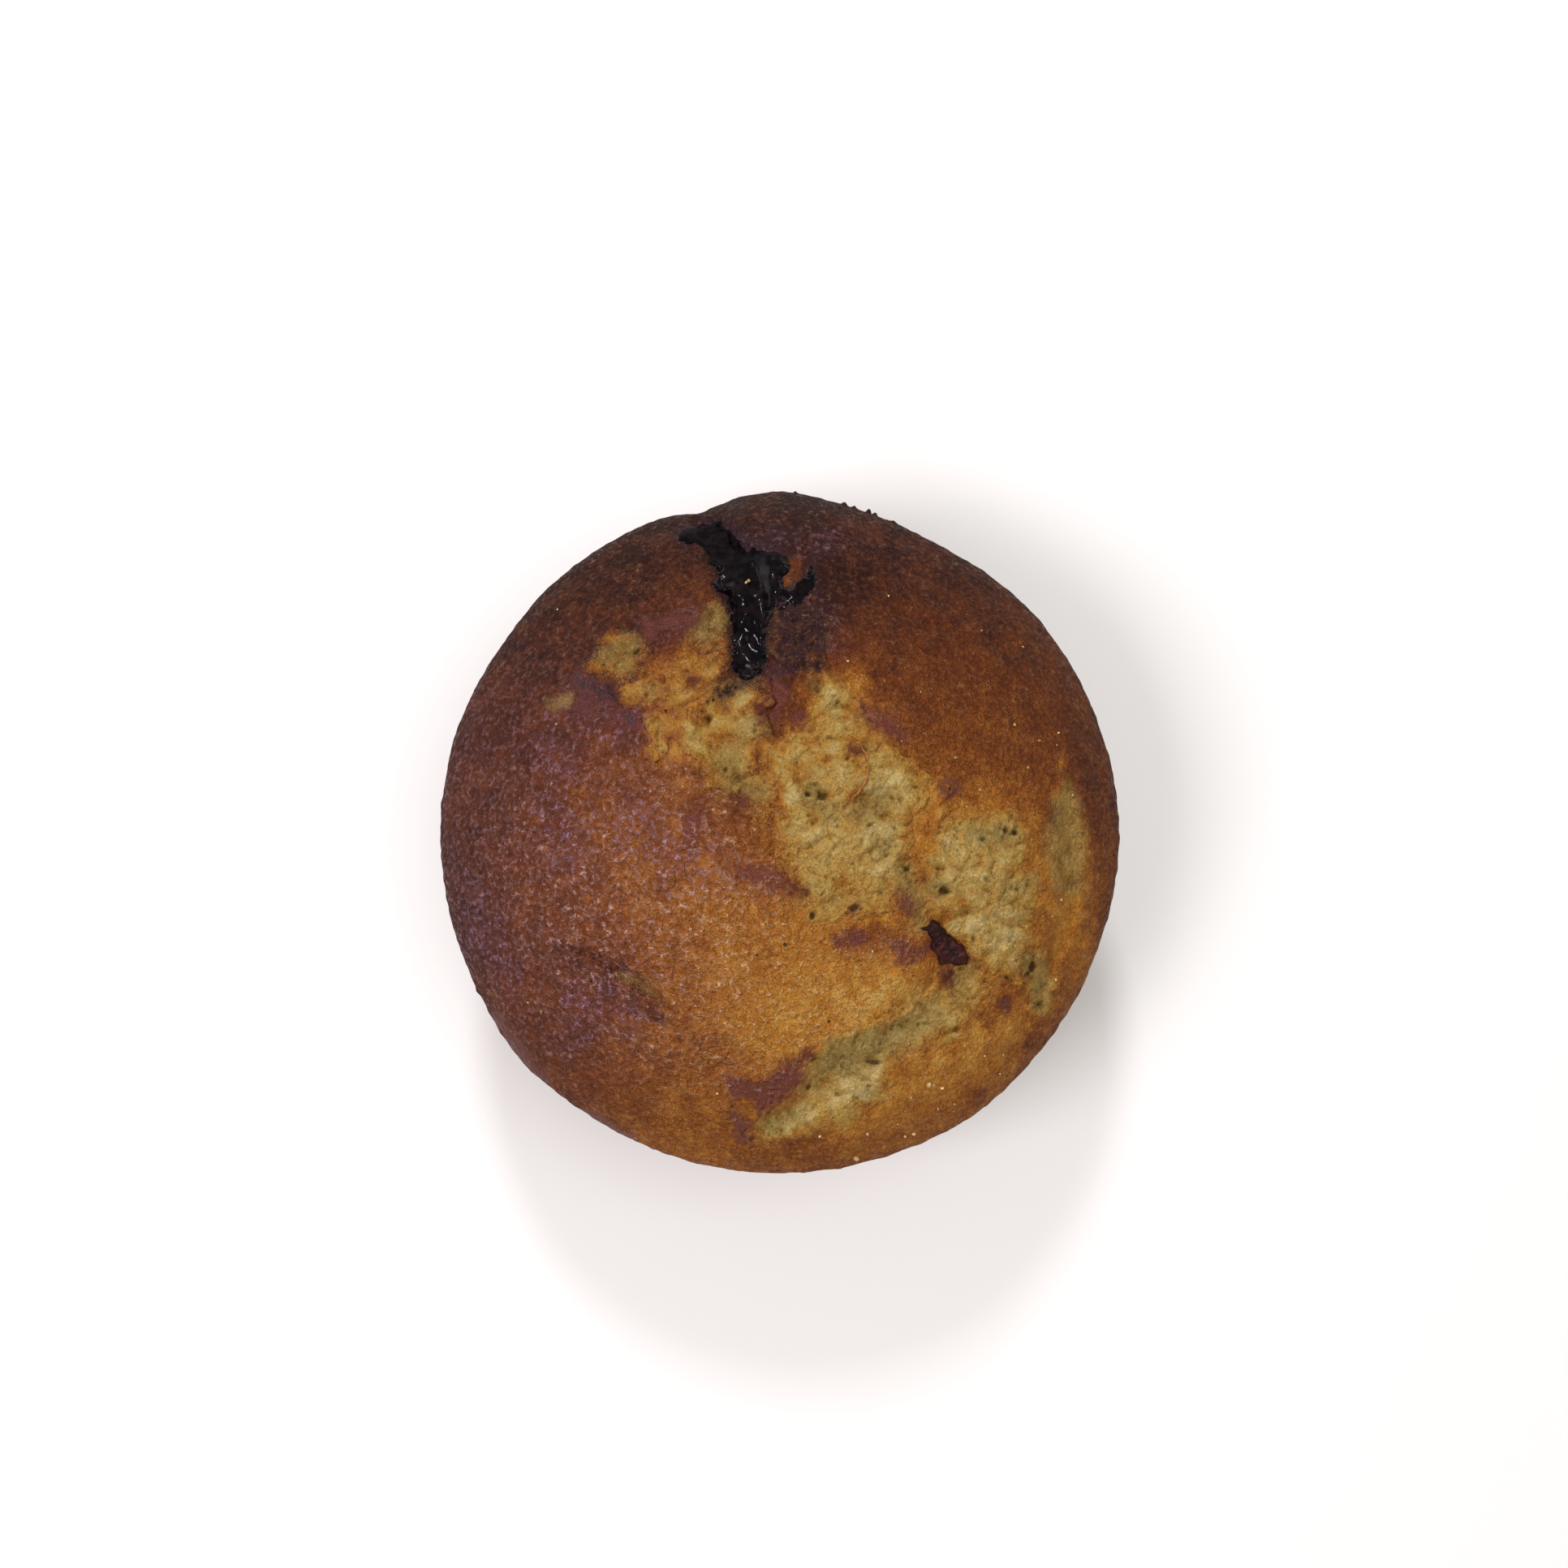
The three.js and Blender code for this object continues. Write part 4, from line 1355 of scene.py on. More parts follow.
@dataclass(frozen=True)
class Relief:
    """Fine relief of the cake: the crust's lumps and ripple and the wall's pits, in millimetres."""

    lump_size: float = 3.4
    lump_height: float = 0.3
    ripple_size: float = 1.0
    ripple_height: float = 0.16
    pit_size: float = 2.2
    pit_depth: float = 0.45

    def tree(self) -> bpy.types.NodeTree:
        """Builds the Geometry Nodes tree.

        Returns:
            The tree, whose inputs after the geometry are this class's sizes and the material.
        """
        tree = bpy.data.node_groups.new("risen_surface", "GeometryNodeTree")
        tree.interface.new_socket(name="Geometry", in_out="OUTPUT", socket_type="NodeSocketGeometry")
        kinds = {"Geometry": "NodeSocketGeometry"}
        kinds |= {size.name: "NodeSocketFloat" for size in fields(self)}
        kinds["finish"] = "NodeSocketMaterial"
        for name, kind in kinds.items():
            tree.interface.new_socket(name=name, in_out="INPUT", socket_type=kind)
        wiring = Wiring(tree)
        given = wiring.node("NodeGroupInput")
        pit = self.pits(wiring, given)
        sink = wiring.times(pit, given.outputs["pit_depth"])
        height = wiring.minus(self.waves(wiring, given), sink)
        awake = wiring.minus(1.0, wiring.carried(Mask.CALM))
        outward = wiring.node("GeometryNodeInputNormal").outputs[0]
        offset = wiring.scaled(outward, wiring.times(height, MM, awake))
        # the pits are also stored as the mask of painted shade, which darkens them
        kept = wiring.node(
            "GeometryNodeStoreNamedAttribute",
            {"Geometry": given.outputs["Geometry"], "Name": Mask.PORE_SHADE.value, "Value": pit},
            data_type="FLOAT",
            domain="POINT",
        ).outputs[0]
        moved = wiring.node("GeometryNodeSetPosition", {"Geometry": kept, "Offset": offset}).outputs[0]
        whole = wiring.node("GeometryNodeRealizeInstances", {0: moved}).outputs[0]
        feeds = {"Geometry": whole, "Material": given.outputs["finish"]}
        wiring.node("NodeGroupOutput", {0: wiring.node("GeometryNodeSetMaterial", feeds).outputs[0]})
        return tree

    def at_size(self, wiring: Wiring, size: Socket) -> Socket:
        """Reads the place on the form in units of a size in millimetres."""
        place = wiring.scaled(wiring.node("GeometryNodeInputPosition").outputs[0], 1 / MM)
        return wiring.scaled(place, wiring.chain("DIVIDE", 1.0, size))

    def waves(self, wiring: Wiring, given: bpy.types.Node) -> Socket:
        """Height of the ripple and the lumps together.

        Args:
            wiring: The tree's wiring.
            given: The node of the tree's inputs.

        Returns:
            The height in millimetres.
        """
        ripple = wiring.noise(self.at_size(wiring, given.outputs["ripple_size"]), 1.0, 2.0)
        ripple = wiring.times(wiring.minus(ripple, 0.5), given.outputs["ripple_height"], 2.0)
        lump = wiring.noise(self.at_size(wiring, given.outputs["lump_size"]), 1.0, 1.0)
        lump = wiring.times(wiring.minus(lump, 0.5), given.outputs["lump_height"], 2.0)
        return wiring.plus(ripple, lump)

    def pits(self, wiring: Wiring, given: bpy.types.Node) -> Socket:
        """Pits in the wall: round cells, of which only some are pitted.

        Args:
            wiring: The tree's wiring.
            given: The node of the tree's inputs.

        Returns:
            1 in the bottom of a pit, and 0 between pits.
        """
        place = self.at_size(wiring, given.outputs["pit_size"])
        cells = wiring.node("ShaderNodeTexVoronoi", {"Vector": place, "Scale": 1.0})
        luck = wiring.node("FunctionNodeSeparateColor", {0: cells.outputs["Color"]}).outputs[1]
        near = wiring.rise(cells.outputs["Distance"], 0.4, 0.1)
        return wiring.times(near, wiring.rise(luck, 0.5, 0.9), wiring.carried(Mask.SIDE))

    def grow(self, form: bpy.types.Object, name: str, finish: bpy.types.Material) -> bpy.types.Object:
        """Raises the relief on a form.

        Args:
            form: The object with its masks, which is used up.
            name: Name of the piece that is made.
            finish: The piece's material.

        Returns:
            The piece.
        """
        return settle(form, name, self.tree(), {**asdict(self), "finish": finish})


def settle(form: bpy.types.Object, name: str, tree: bpy.types.NodeTree, values: dict) -> bpy.types.Object:
    """Runs a Geometry Nodes tree on an object and keeps the result as a plain mesh.

    Args:
        form: The object to run it on, which is removed.
        name: Name of the piece that is made.
        tree: The tree.
        values: What goes into the tree's inputs, by their names.

    Returns:
        The piece, a plain mesh at the origin.
    """
    modifier = form.modifiers.new(tree.name, "NODES")
    modifier.node_group = tree
    for item in tree.interface.items_tree:
        if item.item_type == "SOCKET" and item.in_out == "INPUT" and item.name in values:
            modifier[item.identifier] = values[item.name]
    bpy.context.view_layer.update()
    result = form.evaluated_get(bpy.context.evaluated_depsgraph_get())
    mesh = bpy.data.meshes.new_from_object(result)
    mesh.name = name
    form.modifiers.remove(modifier)
    bpy.data.objects.remove(form)
    return show(bpy.data.objects.new(name, mesh))


# ---- Finishes ----


def new_material(name: str) -> tuple[bpy.types.Material, Wiring, bpy.types.Node]:
    """Starts a material.

    Args:
        name: Name of the material.

    Returns:
        The material, its wiring, and its main shader.
    """
    material = bpy.data.materials.new(name)
    material.use_nodes = True
    shader = next(node for node in material.node_tree.nodes if node.type == "BSDF_PRINCIPLED")
    return material, Wiring(material.node_tree), shader


class BakedWiring(Wiring):
    """Wiring with the noises and masks that the baked finish's colour, gloss and relief share."""

    def __init__(self, tree: bpy.types.NodeTree) -> None:
        """Adds the nodes of the shared noises and masks.

        Args:
            tree: The material's tree.
        """
        super().__init__(tree)
        self.here = self.place()
        self.torn = self.mask(Mask.TORN)
        self.crust = self.minus(1.0, self.torn)
        self.sheen = self.mask(Mask.SHEEN)
        self.cool_sheen = self.mask(Mask.BLOOM)
        self.depth = self.rise(self.mask(Mask.DONENESS), 0.25, 0.62)  # how deeply browned, 0 to 1
        self.grain = self.noise(self.here, 1.3, 3.0, 0.6)
        self.dust = self.noise(self.here, 3.4, 2.0, 0.6)  # the finest grain
        self.crumbs = self.noise(self.here, 1.8, 3.0, 0.65)  # granules of the crumb
        self.patches = self.noise(self.here, 0.34, 4.0, 0.6)  # broad mottle
        # raised curls on the crust, which also carry painted highlights, and thin sunk lines between its
        # scales, darkened with painted shade
        wavy = self.off_middle(self.noise(self.here, 0.85, 1.5, distortion=0.8))
        self.curls = self.times(self.rise(wavy, 0.06, 0.0), self.rise(self.grain, 0.42, 0.58))
        lines = self.off_middle(self.noise(self.here, 0.62, 2.5, 0.55))
        self.seams = self.rise(lines, 0.035, 0.0)
        # the crumb's web and the pale strands in it
        self.webbed = self.noise(self.here, 1.15, 2.0, distortion=1.4)
        strands = self.rise(self.off_middle(self.webbed), 0.045, 0.0, 0.0, 0.34)
        self.strands = self.times(strands, self.torn)
        # painted highlights on grains and curls, which also raise the specular
        glitter = self.times(self.rise(self.dust, 0.56, 0.72), self.rise(self.grain, 0.44, 0.6))
        self.bright = self.most(self.times(glitter, 0.58), self.times(self.curls, 0.8))
        # caramel and chocolate, both uneven
        sticky = self.rise(self.grain, 0.66, 0.4, 0.45, 0.95)
        self.sticky = self.times(self.mask(Mask.CARAMEL), sticky)
        soaked = self.rise(self.crumbs, 0.68, 0.4, 0.4, 1.0)
        self.stain = self.times(self.mask(Mask.STAIN), soaked)


@dataclass(frozen=True)
class BakedFinish:
    """Browned crust over pale crumb, with caramel and chocolate stains, and painted cool sheen, highlights
    and shade.
    """

    stops: tuple[tuple[float, Colour], ...] = (
        (0.00, tint(198, 172, 112)),
        (0.14, tint(183, 150, 82)),
        (0.26, tint(175, 133, 62)),
        (0.37, tint(164, 110, 42)),
        (0.50, tint(146, 88, 32)),
        (0.62, tint(122, 67, 26)),
        (0.75, tint(98, 50, 24)),
        (0.88, tint(74, 37, 24)),
        (1.00, tint(46, 24, 20)),
    )
    caramel: Colour = tint(96, 47, 38)
    stain: Colour = tint(58, 38, 42)
    # grey-green crumb, moist and in painted shade; the darker tone also paints shade in pits
    olive: Colour = tint(150, 126, 70)
    wet: Colour = tint(104, 84, 40)
    strand: Colour = tint(222, 194, 134)
    # painted cool sheen, and its pinkish-violet painted highlights
    cool_sheen: Colour = tint(104, 66, 70)
    lilac_highlight: Colour = tint(134, 102, 122)
    # painted highlights on the crust's grains and curls, warm and cool
    painted_highlight: Colour = tint(228, 176, 122)
    cool_painted_highlight: Colour = tint(194, 150, 184)
    # painted shade: in the crust's seams, in pores and pits, and in pinholes
    seam_shade: Colour = tint(98, 50, 20)
    pore_shade: Colour = tint(74, 50, 22)
    hole: Colour = tint(48, 26, 14)

    def build(self) -> bpy.types.Material:
        """Makes the material.

        Returns:
            The material, which reads the masks of the mesh it is on.
        """
        material, _, shader = new_material("baked_crust_and_crumb")
        base = BakedWiring(material.node_tree)
        base.feed(shader.inputs["Base Color"], self.colour(base))
        base.feed(shader.inputs["Roughness"], self.roughness(base))
        base.feed(shader.inputs["Specular IOR Level"], self.shine(base))
        base.bump(shader, self.height(base), 0.9 * MM, 1.0)
        base.feed(shader.inputs["Subsurface Weight"], base.times(base.torn, 0.3))
        shader.inputs["Subsurface Radius"].default_value = (1.0, 0.6, 0.3)
        shader.inputs["Subsurface Scale"].default_value = 0.8 * MM
        return material

    def colour(self, base: BakedWiring) -> Socket:
        """Colours the surface, from how far it is baked to the marks that lie on it.

        Args:
            base: The material's wiring.

        Returns:
            The colour.
        """
        steady = base.times(base.crust, base.rise(base.depth, 0.0, 1.0, 0.55, 1.0))
        level = base.mask(Mask.DONENESS)
        for noise, amount, share in (
            (base.grain, -0.47, steady),
            (base.patches, -0.35, steady),
            (base.crumbs, -0.35, base.torn),
            (base.patches, -0.4, base.torn),
        ):
            level = base.plus(level, base.times(base.minus(noise, 0.5), amount, share))
        shade = base.rise(base.dust, 0.3, 0.7, 0.82, 1.18)
        colour = base.blend(1.0, base.ramp(level, self.stops), shade, "MULTIPLY")
        # painted cool sheen and pinkish-violet highlights on the crust, and painted shade in its dark seams
        hue = base.noise(base.here, 0.9, 2.0, 0.6)
        cool_sheen = base.times(base.cool_sheen, base.rise(hue, 0.3, 0.74), 0.5)
        colour = base.blend(cool_sheen, colour, self.cool_sheen)
        mottle = base.times(base.cool_sheen, base.rise(base.grain, 0.5, 0.66, 0.0, 0.5))
        colour = base.blend(mottle, colour, self.lilac_highlight)
        dim = base.times(base.seams, base.crust, base.rise(base.sheen, 0.0, 0.8, 0.16, 0.42))
        colour = base.blend(dim, colour, self.seam_shade)
        # the crumb's grey-green, moist and partly painted shade in hollows, its strands, and painted shade in
        # its pits and pores
        moist = base.times(base.mask(Mask.OLIVE), base.rise(base.crumbs, 0.72, 0.4, 0.5, 0.9))
        damp_and_shade = base.blend(base.rise(base.patches, 0.32, 0.58), self.wet, self.olive)
        colour = base.blend(moist, colour, damp_and_shade)
        colour = base.blend(base.strands, colour, self.strand)
        pits = base.times(base.rise(base.webbed, 0.36, 0.26, 0.0, 0.5), base.torn)
        colour = base.blend(pits, colour, self.wet)
        colour = base.blend(base.times(base.mask(Mask.PORE_SHADE), 0.8), colour, self.pore_shade)
        # caramel and chocolate
        colour = base.blend(base.sticky, colour, self.caramel)
        colour = base.blend(base.stain, colour, self.stain)
        # painted highlights on grains and curls where the crust shines most, cool ones on the left and on
        # chocolate stains
        glint_share = base.times(base.sheen, base.rise(base.patches, 0.4, 0.6, 0.5, 0.9))
        glint_share = base.most(glint_share, base.times(base.most(base.sticky, base.stain), 0.26))
        gleam = base.times(base.bright, base.crust, glint_share)
        cool = base.most(base.cool_sheen, base.stain)
        colour = base.blend(gleam, colour, base.blend(cool, self.painted_highlight, self.cool_painted_highlight))
        return base.blend(self.pinholes(base), colour, self.hole)

    def pinholes(self, base: BakedWiring) -> Socket:
        """Spreads sparse pinholes where bubbles have burst, painted as dark dots of shade.

        Args:
            base: The material's wiring.

        Returns:
            The holes, as weights from 0 to 1.
        """
        cells = base.node("ShaderNodeTexVoronoi", {"Vector": base.here, "Scale": 0.3, "Randomness": 1.0})
        luck = base.node("ShaderNodeSeparateColor", {0: cells.outputs["Color"]}).outputs[0]
        size = base.rise(luck, 0.55, 1.0, 0.0, 0.11)
        return base.rise(base.minus(cells.outputs["Distance"], size), 0.0, -0.03, 0.0, 0.85)

    def roughness(self, base: BakedWiring) -> Socket:
        """Works out how rough the surface is: dry crumb most, caramel least.

        Args:
            base: The material's wiring.

        Returns:
            The roughness.
        """
        crust = base.rise(base.grain, 0.45, 0.7, 0.62, 0.42)
        return base.between(base.sticky, base.between(base.torn, crust, 0.9), 0.36)

    def shine(self, base: BakedWiring) -> Socket:
        """Works out how strongly the surface mirrors: shiny, deeply browned crust most.

        Args:
            base: The material's wiring.

        Returns:
            The specular level.
        """
        shine = base.rise(base.most(base.bright, base.curls), 0.1, 0.9, 0.06, 0.45)
        shine = base.times(base.crust, shine, base.rise(base.sheen, 0.0, 0.9, 0.25, 1.0))
        shine = base.times(shine, base.rise(base.depth, 0.0, 1.0, 0.25, 1.0))
        return base.plus(base.most(shine, base.times(base.sticky, 0.1)), 0.04)

    def height(self, base: BakedWiring) -> Socket:
        """Works out the finest relief, which is only seen and not built.

        Args:
            base: The material's wiring.

        Returns:
            The height.
        """
        lines = base.minus(base.times(base.curls, 0.26), base.times(base.seams, 0.14))
        lines = base.times(lines, base.rise(base.depth, 0.0, 1.0, 0.3, 1.0))
        fine = base.plus(base.times(base.grain, 0.8), lines, base.times(base.dust, 0.25))
        fine = base.times(fine, base.crust, base.rise(base.sticky, 0.0, 1.0, 1.0, 0.6))
        loose = base.plus(base.crumbs, base.times(base.dust, 0.5), base.times(base.strands, 0.3))
        return base.plus(fine, base.times(loose, base.torn))


@dataclass(frozen=True)
class MeltedFinish:
    """Melted chocolate: nearly black, wet where it is thick and dull where it is a smear."""

    deep: Colour = tint(7, 5, 7)
    thin: Colour = tint(26, 17, 19)

    def build(self) -> bpy.types.Material:
        """Makes the material.

        Returns:
            The material.
        """
        material, wiring, shader = new_material("melted_chocolate")
        place = wiring.place()
        lumps = wiring.noise(place, 0.7, 3.0, 0.55)
        fine = wiring.noise(place, 2.6, 2.0, 0.5)
        colour = wiring.blend(wiring.rise(lumps, 0.4, 0.7), self.deep, self.thin)
        wiring.feed(shader.inputs["Base Color"], colour)
        _, y, _ = wiring.node("ShaderNodeSeparateXYZ", {0: place}).outputs
        smear = wiring.rise(y, 36.0, 41.0)
        wet = wiring.rise(fine, 0.4, 0.65, 0.06, 0.14)
        wiring.feed(shader.inputs["Roughness"], wiring.between(smear, wet, 0.55))
        wiring.feed(shader.inputs["Specular IOR Level"], wiring.rise(smear, 0.0, 1.0, 0.1, 0.03))
        wiring.bump(shader, fine, 0.12 * MM, 0.2)
        return material


@dataclass(frozen=True)
class SplinterFinish:
    """Set chocolate, dull and dark, paler in patches and towards its front end."""

    dark: Colour = tint(38, 14, 14)
    pale: Colour = tint(78, 34, 26)

    def build(self) -> bpy.types.Material:
        """Makes the material.

        Returns:
            The material.
        """
        material, wiring, shader = new_material("set_chocolate")
        place = wiring.place()
        crumbs = wiring.noise(place, 0.8, 4.0, 0.6)
        _, y, _ = wiring.node("ShaderNodeSeparateXYZ", {0: place}).outputs
        tone = wiring.plus(crumbs, wiring.rise(y, -14.0, -18.0, -0.2, 0.06))
        colour = wiring.blend(wiring.rise(tone, 0.4, 0.8), self.dark, self.pale)
        wiring.feed(shader.inputs["Base Color"], colour)
        wiring.feed(shader.inputs["Roughness"], wiring.rise(crumbs, 0.3, 0.7, 0.4, 0.7))
        shader.inputs["Specular IOR Level"].default_value = 0.18
        wiring.bump(shader, crumbs, 0.3 * MM, 0.7)
        return material


@dataclass(frozen=True)
class FibreFinish:
    """A moist red-brown fibre of baked banana."""

    dark: Colour = tint(132, 78, 40)
    pale: Colour = tint(168, 112, 60)

    def build(self) -> bpy.types.Material:
        """Makes the material.

        Returns:
            The material.
        """
        material, wiring, shader = new_material("baked_banana_fibre")
        tone = wiring.noise(wiring.spot(), 900.0)
        colour = wiring.blend(wiring.rise(tone, 0.35, 0.65), self.dark, self.pale)
        wiring.feed(shader.inputs["Base Color"], colour)
        wiring.feed(shader.inputs["Roughness"], wiring.rise(tone, 0.3, 0.7, 0.45, 0.6))
        shader.inputs["Specular IOR Level"].default_value = 0.1
        return material


@dataclass(frozen=True)
class GrainFinish:
    """Dry, pale crumb."""

    dark: Colour = tint(150, 116, 60)
    pale: Colour = tint(212, 184, 136)

    def build(self) -> bpy.types.Material:
        """Makes the material.

        Returns:
            The material.
        """
        material, wiring, shader = new_material("dry_pale_crumb")
        tone = wiring.noise(wiring.spot(), 700.0)
        colour = wiring.blend(wiring.rise(tone, 0.35, 0.65), self.dark, self.pale)
        wiring.feed(shader.inputs["Base Color"], colour)
        shader.inputs["Roughness"].default_value = 0.8
        return material


# ---- Crumb ----


def slab(
    x: Array, y: Array, upper: Array, lower: Array, keep: Array, name: str
) -> tuple[bpy.types.Mesh, Array]:
    """Closes an upper and a lower surface over the kept part of a grid.

    Args:
        x: X of the grid's points.
        y: Y of the grid's points.
        upper: Height of the upper surface.
        lower: Height of the lower surface.
        keep: Which points are kept.
        name: Name of the mesh.

    Returns:
        The closed mesh, and the grid point over which each of its points lies.
    """
    rows, columns = np.nonzero(keep[:-1, :-1] & keep[1:, :-1] & keep[1:, 1:] & keep[:-1, 1:])
    a = rows * x.shape[1] + columns
    b = a + x.shape[1]
    top = np.concatenate([np.stack([a, b, b + 1], axis=1), np.stack([a, b + 1, a + 1], axis=1)])
    total = x.size
    edges = np.concatenate([top[:, [0, 1]], top[:, [1, 2]], top[:, [2, 0]]])
    rim = edges[~np.isin(edges[:, 0] * total + edges[:, 1], edges[:, 1] * total + edges[:, 0])]
    walls = np.concatenate(
        [
            np.stack([rim[:, 1], rim[:, 0], rim[:, 0] + total], axis=1),
            np.stack([rim[:, 1], rim[:, 0] + total, rim[:, 1] + total], axis=1),
        ]
    )
    faces = np.concatenate([top, top[:, ::-1] + total, walls])
    layers = [np.stack([x.ravel(), y.ravel(), z.ravel()], axis=1) for z in (upper, lower)]
    points = np.concatenate(layers)
    used, renumbered = np.unique(faces, return_inverse=True)
    return mesh_from(points[used], renumbered.reshape(faces.shape), name), used % total


@dataclass
class OpenCrumb:
    """The rough crumb that shows where the crust is torn: granules, crevices and pores."""

    loaf: Loaf
    step: float = 0.205
    lift: float = 0.25
    dive: float = 0.8
    slab: float = 1.2
    granules: tuple[tuple[float, float], ...] = ((3.6, 0.6), (1.7, 0.34), (0.8, 0.18), (0.45, 0.09))
    pore_count: int = 210
    pore_reach: int = 7  # steps of the grid that a pore may reach
    span_x: Pair = (-30.0, 46.0)  # the crumb's least and greatest x
    span_y: Pair = (-47.0, 40.0)
    farthest: float = 47.5  # no crumb shows farther from the middle
    seed: int = 5

    def granular(self, x: Array, y: Array) -> Array:
        """Height of the granules: rounded tops with sharp crevices between them.

        Args:
            x: X of the points.
            y: Y of the points.

        Returns:
            Height at each point.
        """
        height = np.zeros(x.shape)
        for number, (size, rise) in enumerate(self.granules):
            bent = 0.35 * size * self.loaf.coarse.at(x, y, 50 + number, 1.7 * size)
            wave = self.loaf.fine.at(x + bent, y - bent, 20 * number, size)
            height += rise * (np.minimum(1.0, 2.4 * np.abs(wave)) ** 0.7 - 0.4)
        return height

    def pores(self, x: Array, y: Array, torn: Array, damp_and_shade: Array) -> Array:
        """Depth of the pores: those of the plan, and small ones strewn over the crumb.

        Args:
            x: X of the grid's points.
            y: Y of the grid's points.
            torn: How far crumb shows at each point.
            damp_and_shade: How grey-green the crumb is there, moist and in painted shade, which draws pores.

        Returns:
            Depth at each point.
        """
        depth = self.loaf.plan.hole_depth(x, y, self.loaf.fine.at(x, y, 7, 0.8))
        draw = np.random.default_rng(self.seed)
        odds = ((torn > 0.5) * (0.25 + damp_and_shade)).ravel()
        picks = draw.choice(x.size, self.pore_count, replace=False, p=odds / odds.sum())
        for pick in picks:
            place = np.unravel_index(pick, x.shape)
            window = tuple(slice(max(0, at - self.pore_reach), at + self.pore_reach + 1) for at in place)
            radius = draw.uniform(0.13, 0.36)
            turn = draw.uniform(0.0, math.pi)
            stretch = draw.uniform(1.0, 2.8)
            dx, dy = x[window] - x[place], y[window] - y[place]
            along, aside = turned(dx, dy, turn)
            gap = np.hypot(along / stretch, aside)
            dent = draw.uniform(1.0, 1.8) * radius * soft(gap, 1.2 * radius, 0.3 * radius)
            depth[window] = np.maximum(depth[window], dent)
        return depth

    def build(self, finish: bpy.types.Material) -> bpy.types.Object:
        """Makes the crumb as a closed sheet whose edges dive under the crust.

        Args:
            finish: The material shared with the crust.

        Returns:
            The piece.
        """
        across = np.arange(*self.span_x, self.step)
        along = np.arange(*self.span_y, self.step)
        x, y = np.meshgrid(across, along, indexing="ij")
        torn = self.loaf.torn_at(x, y) * (np.hypot(x, y) < self.farthest)
        ground = self.loaf.top_at(x, y)
        masks = self.loaf.top_masks(x, y)
        frayed = self.loaf.fine.layered(x, y, 66, 0.9, 2)
        shown = torn + 0.25 * frayed * soft(torn, 0.0, 0.2) * soft(torn, 1.0, 0.7)
        pores = self.pores(x, y, torn, masks[Mask.OLIVE])
        body = soft(shown, 0.05, 0.8)
        relief = self.granular(x, y)
        upper = ground + self.lift * body - self.dive * soft(shown, 0.12, -0.05) + body * (relief - pores)
        lower = ground - self.dive - self.slab * soft(torn, 0.0, 0.3) - 0.1
        keep = torn > 0.02
        mesh, spots = slab(x, y, upper, np.minimum(lower, upper - 0.2), keep, "open_crumb")
        # light and shade painted on the crumb's relief: shade in the pores and between the granules,
        # grey-green in the hollows, paler tops
        masks[Mask.PORE_SHADE] = np.maximum(soft(pores, 0.08, 0.75), 0.22 * body * soft(relief, 0.0, -0.5))
        masks[Mask.OLIVE] = np.clip(masks[Mask.OLIVE] + 0.5 * body * soft(relief, 0.0, -0.6), 0.0, 1.0)
        masks[Mask.DONENESS] -= 0.16 * relief * body
        carry(mesh, {mask: value.ravel()[spots] for mask, value in masks.items()})
        return dressed(mesh, finish)


# ---- Chocolate ----


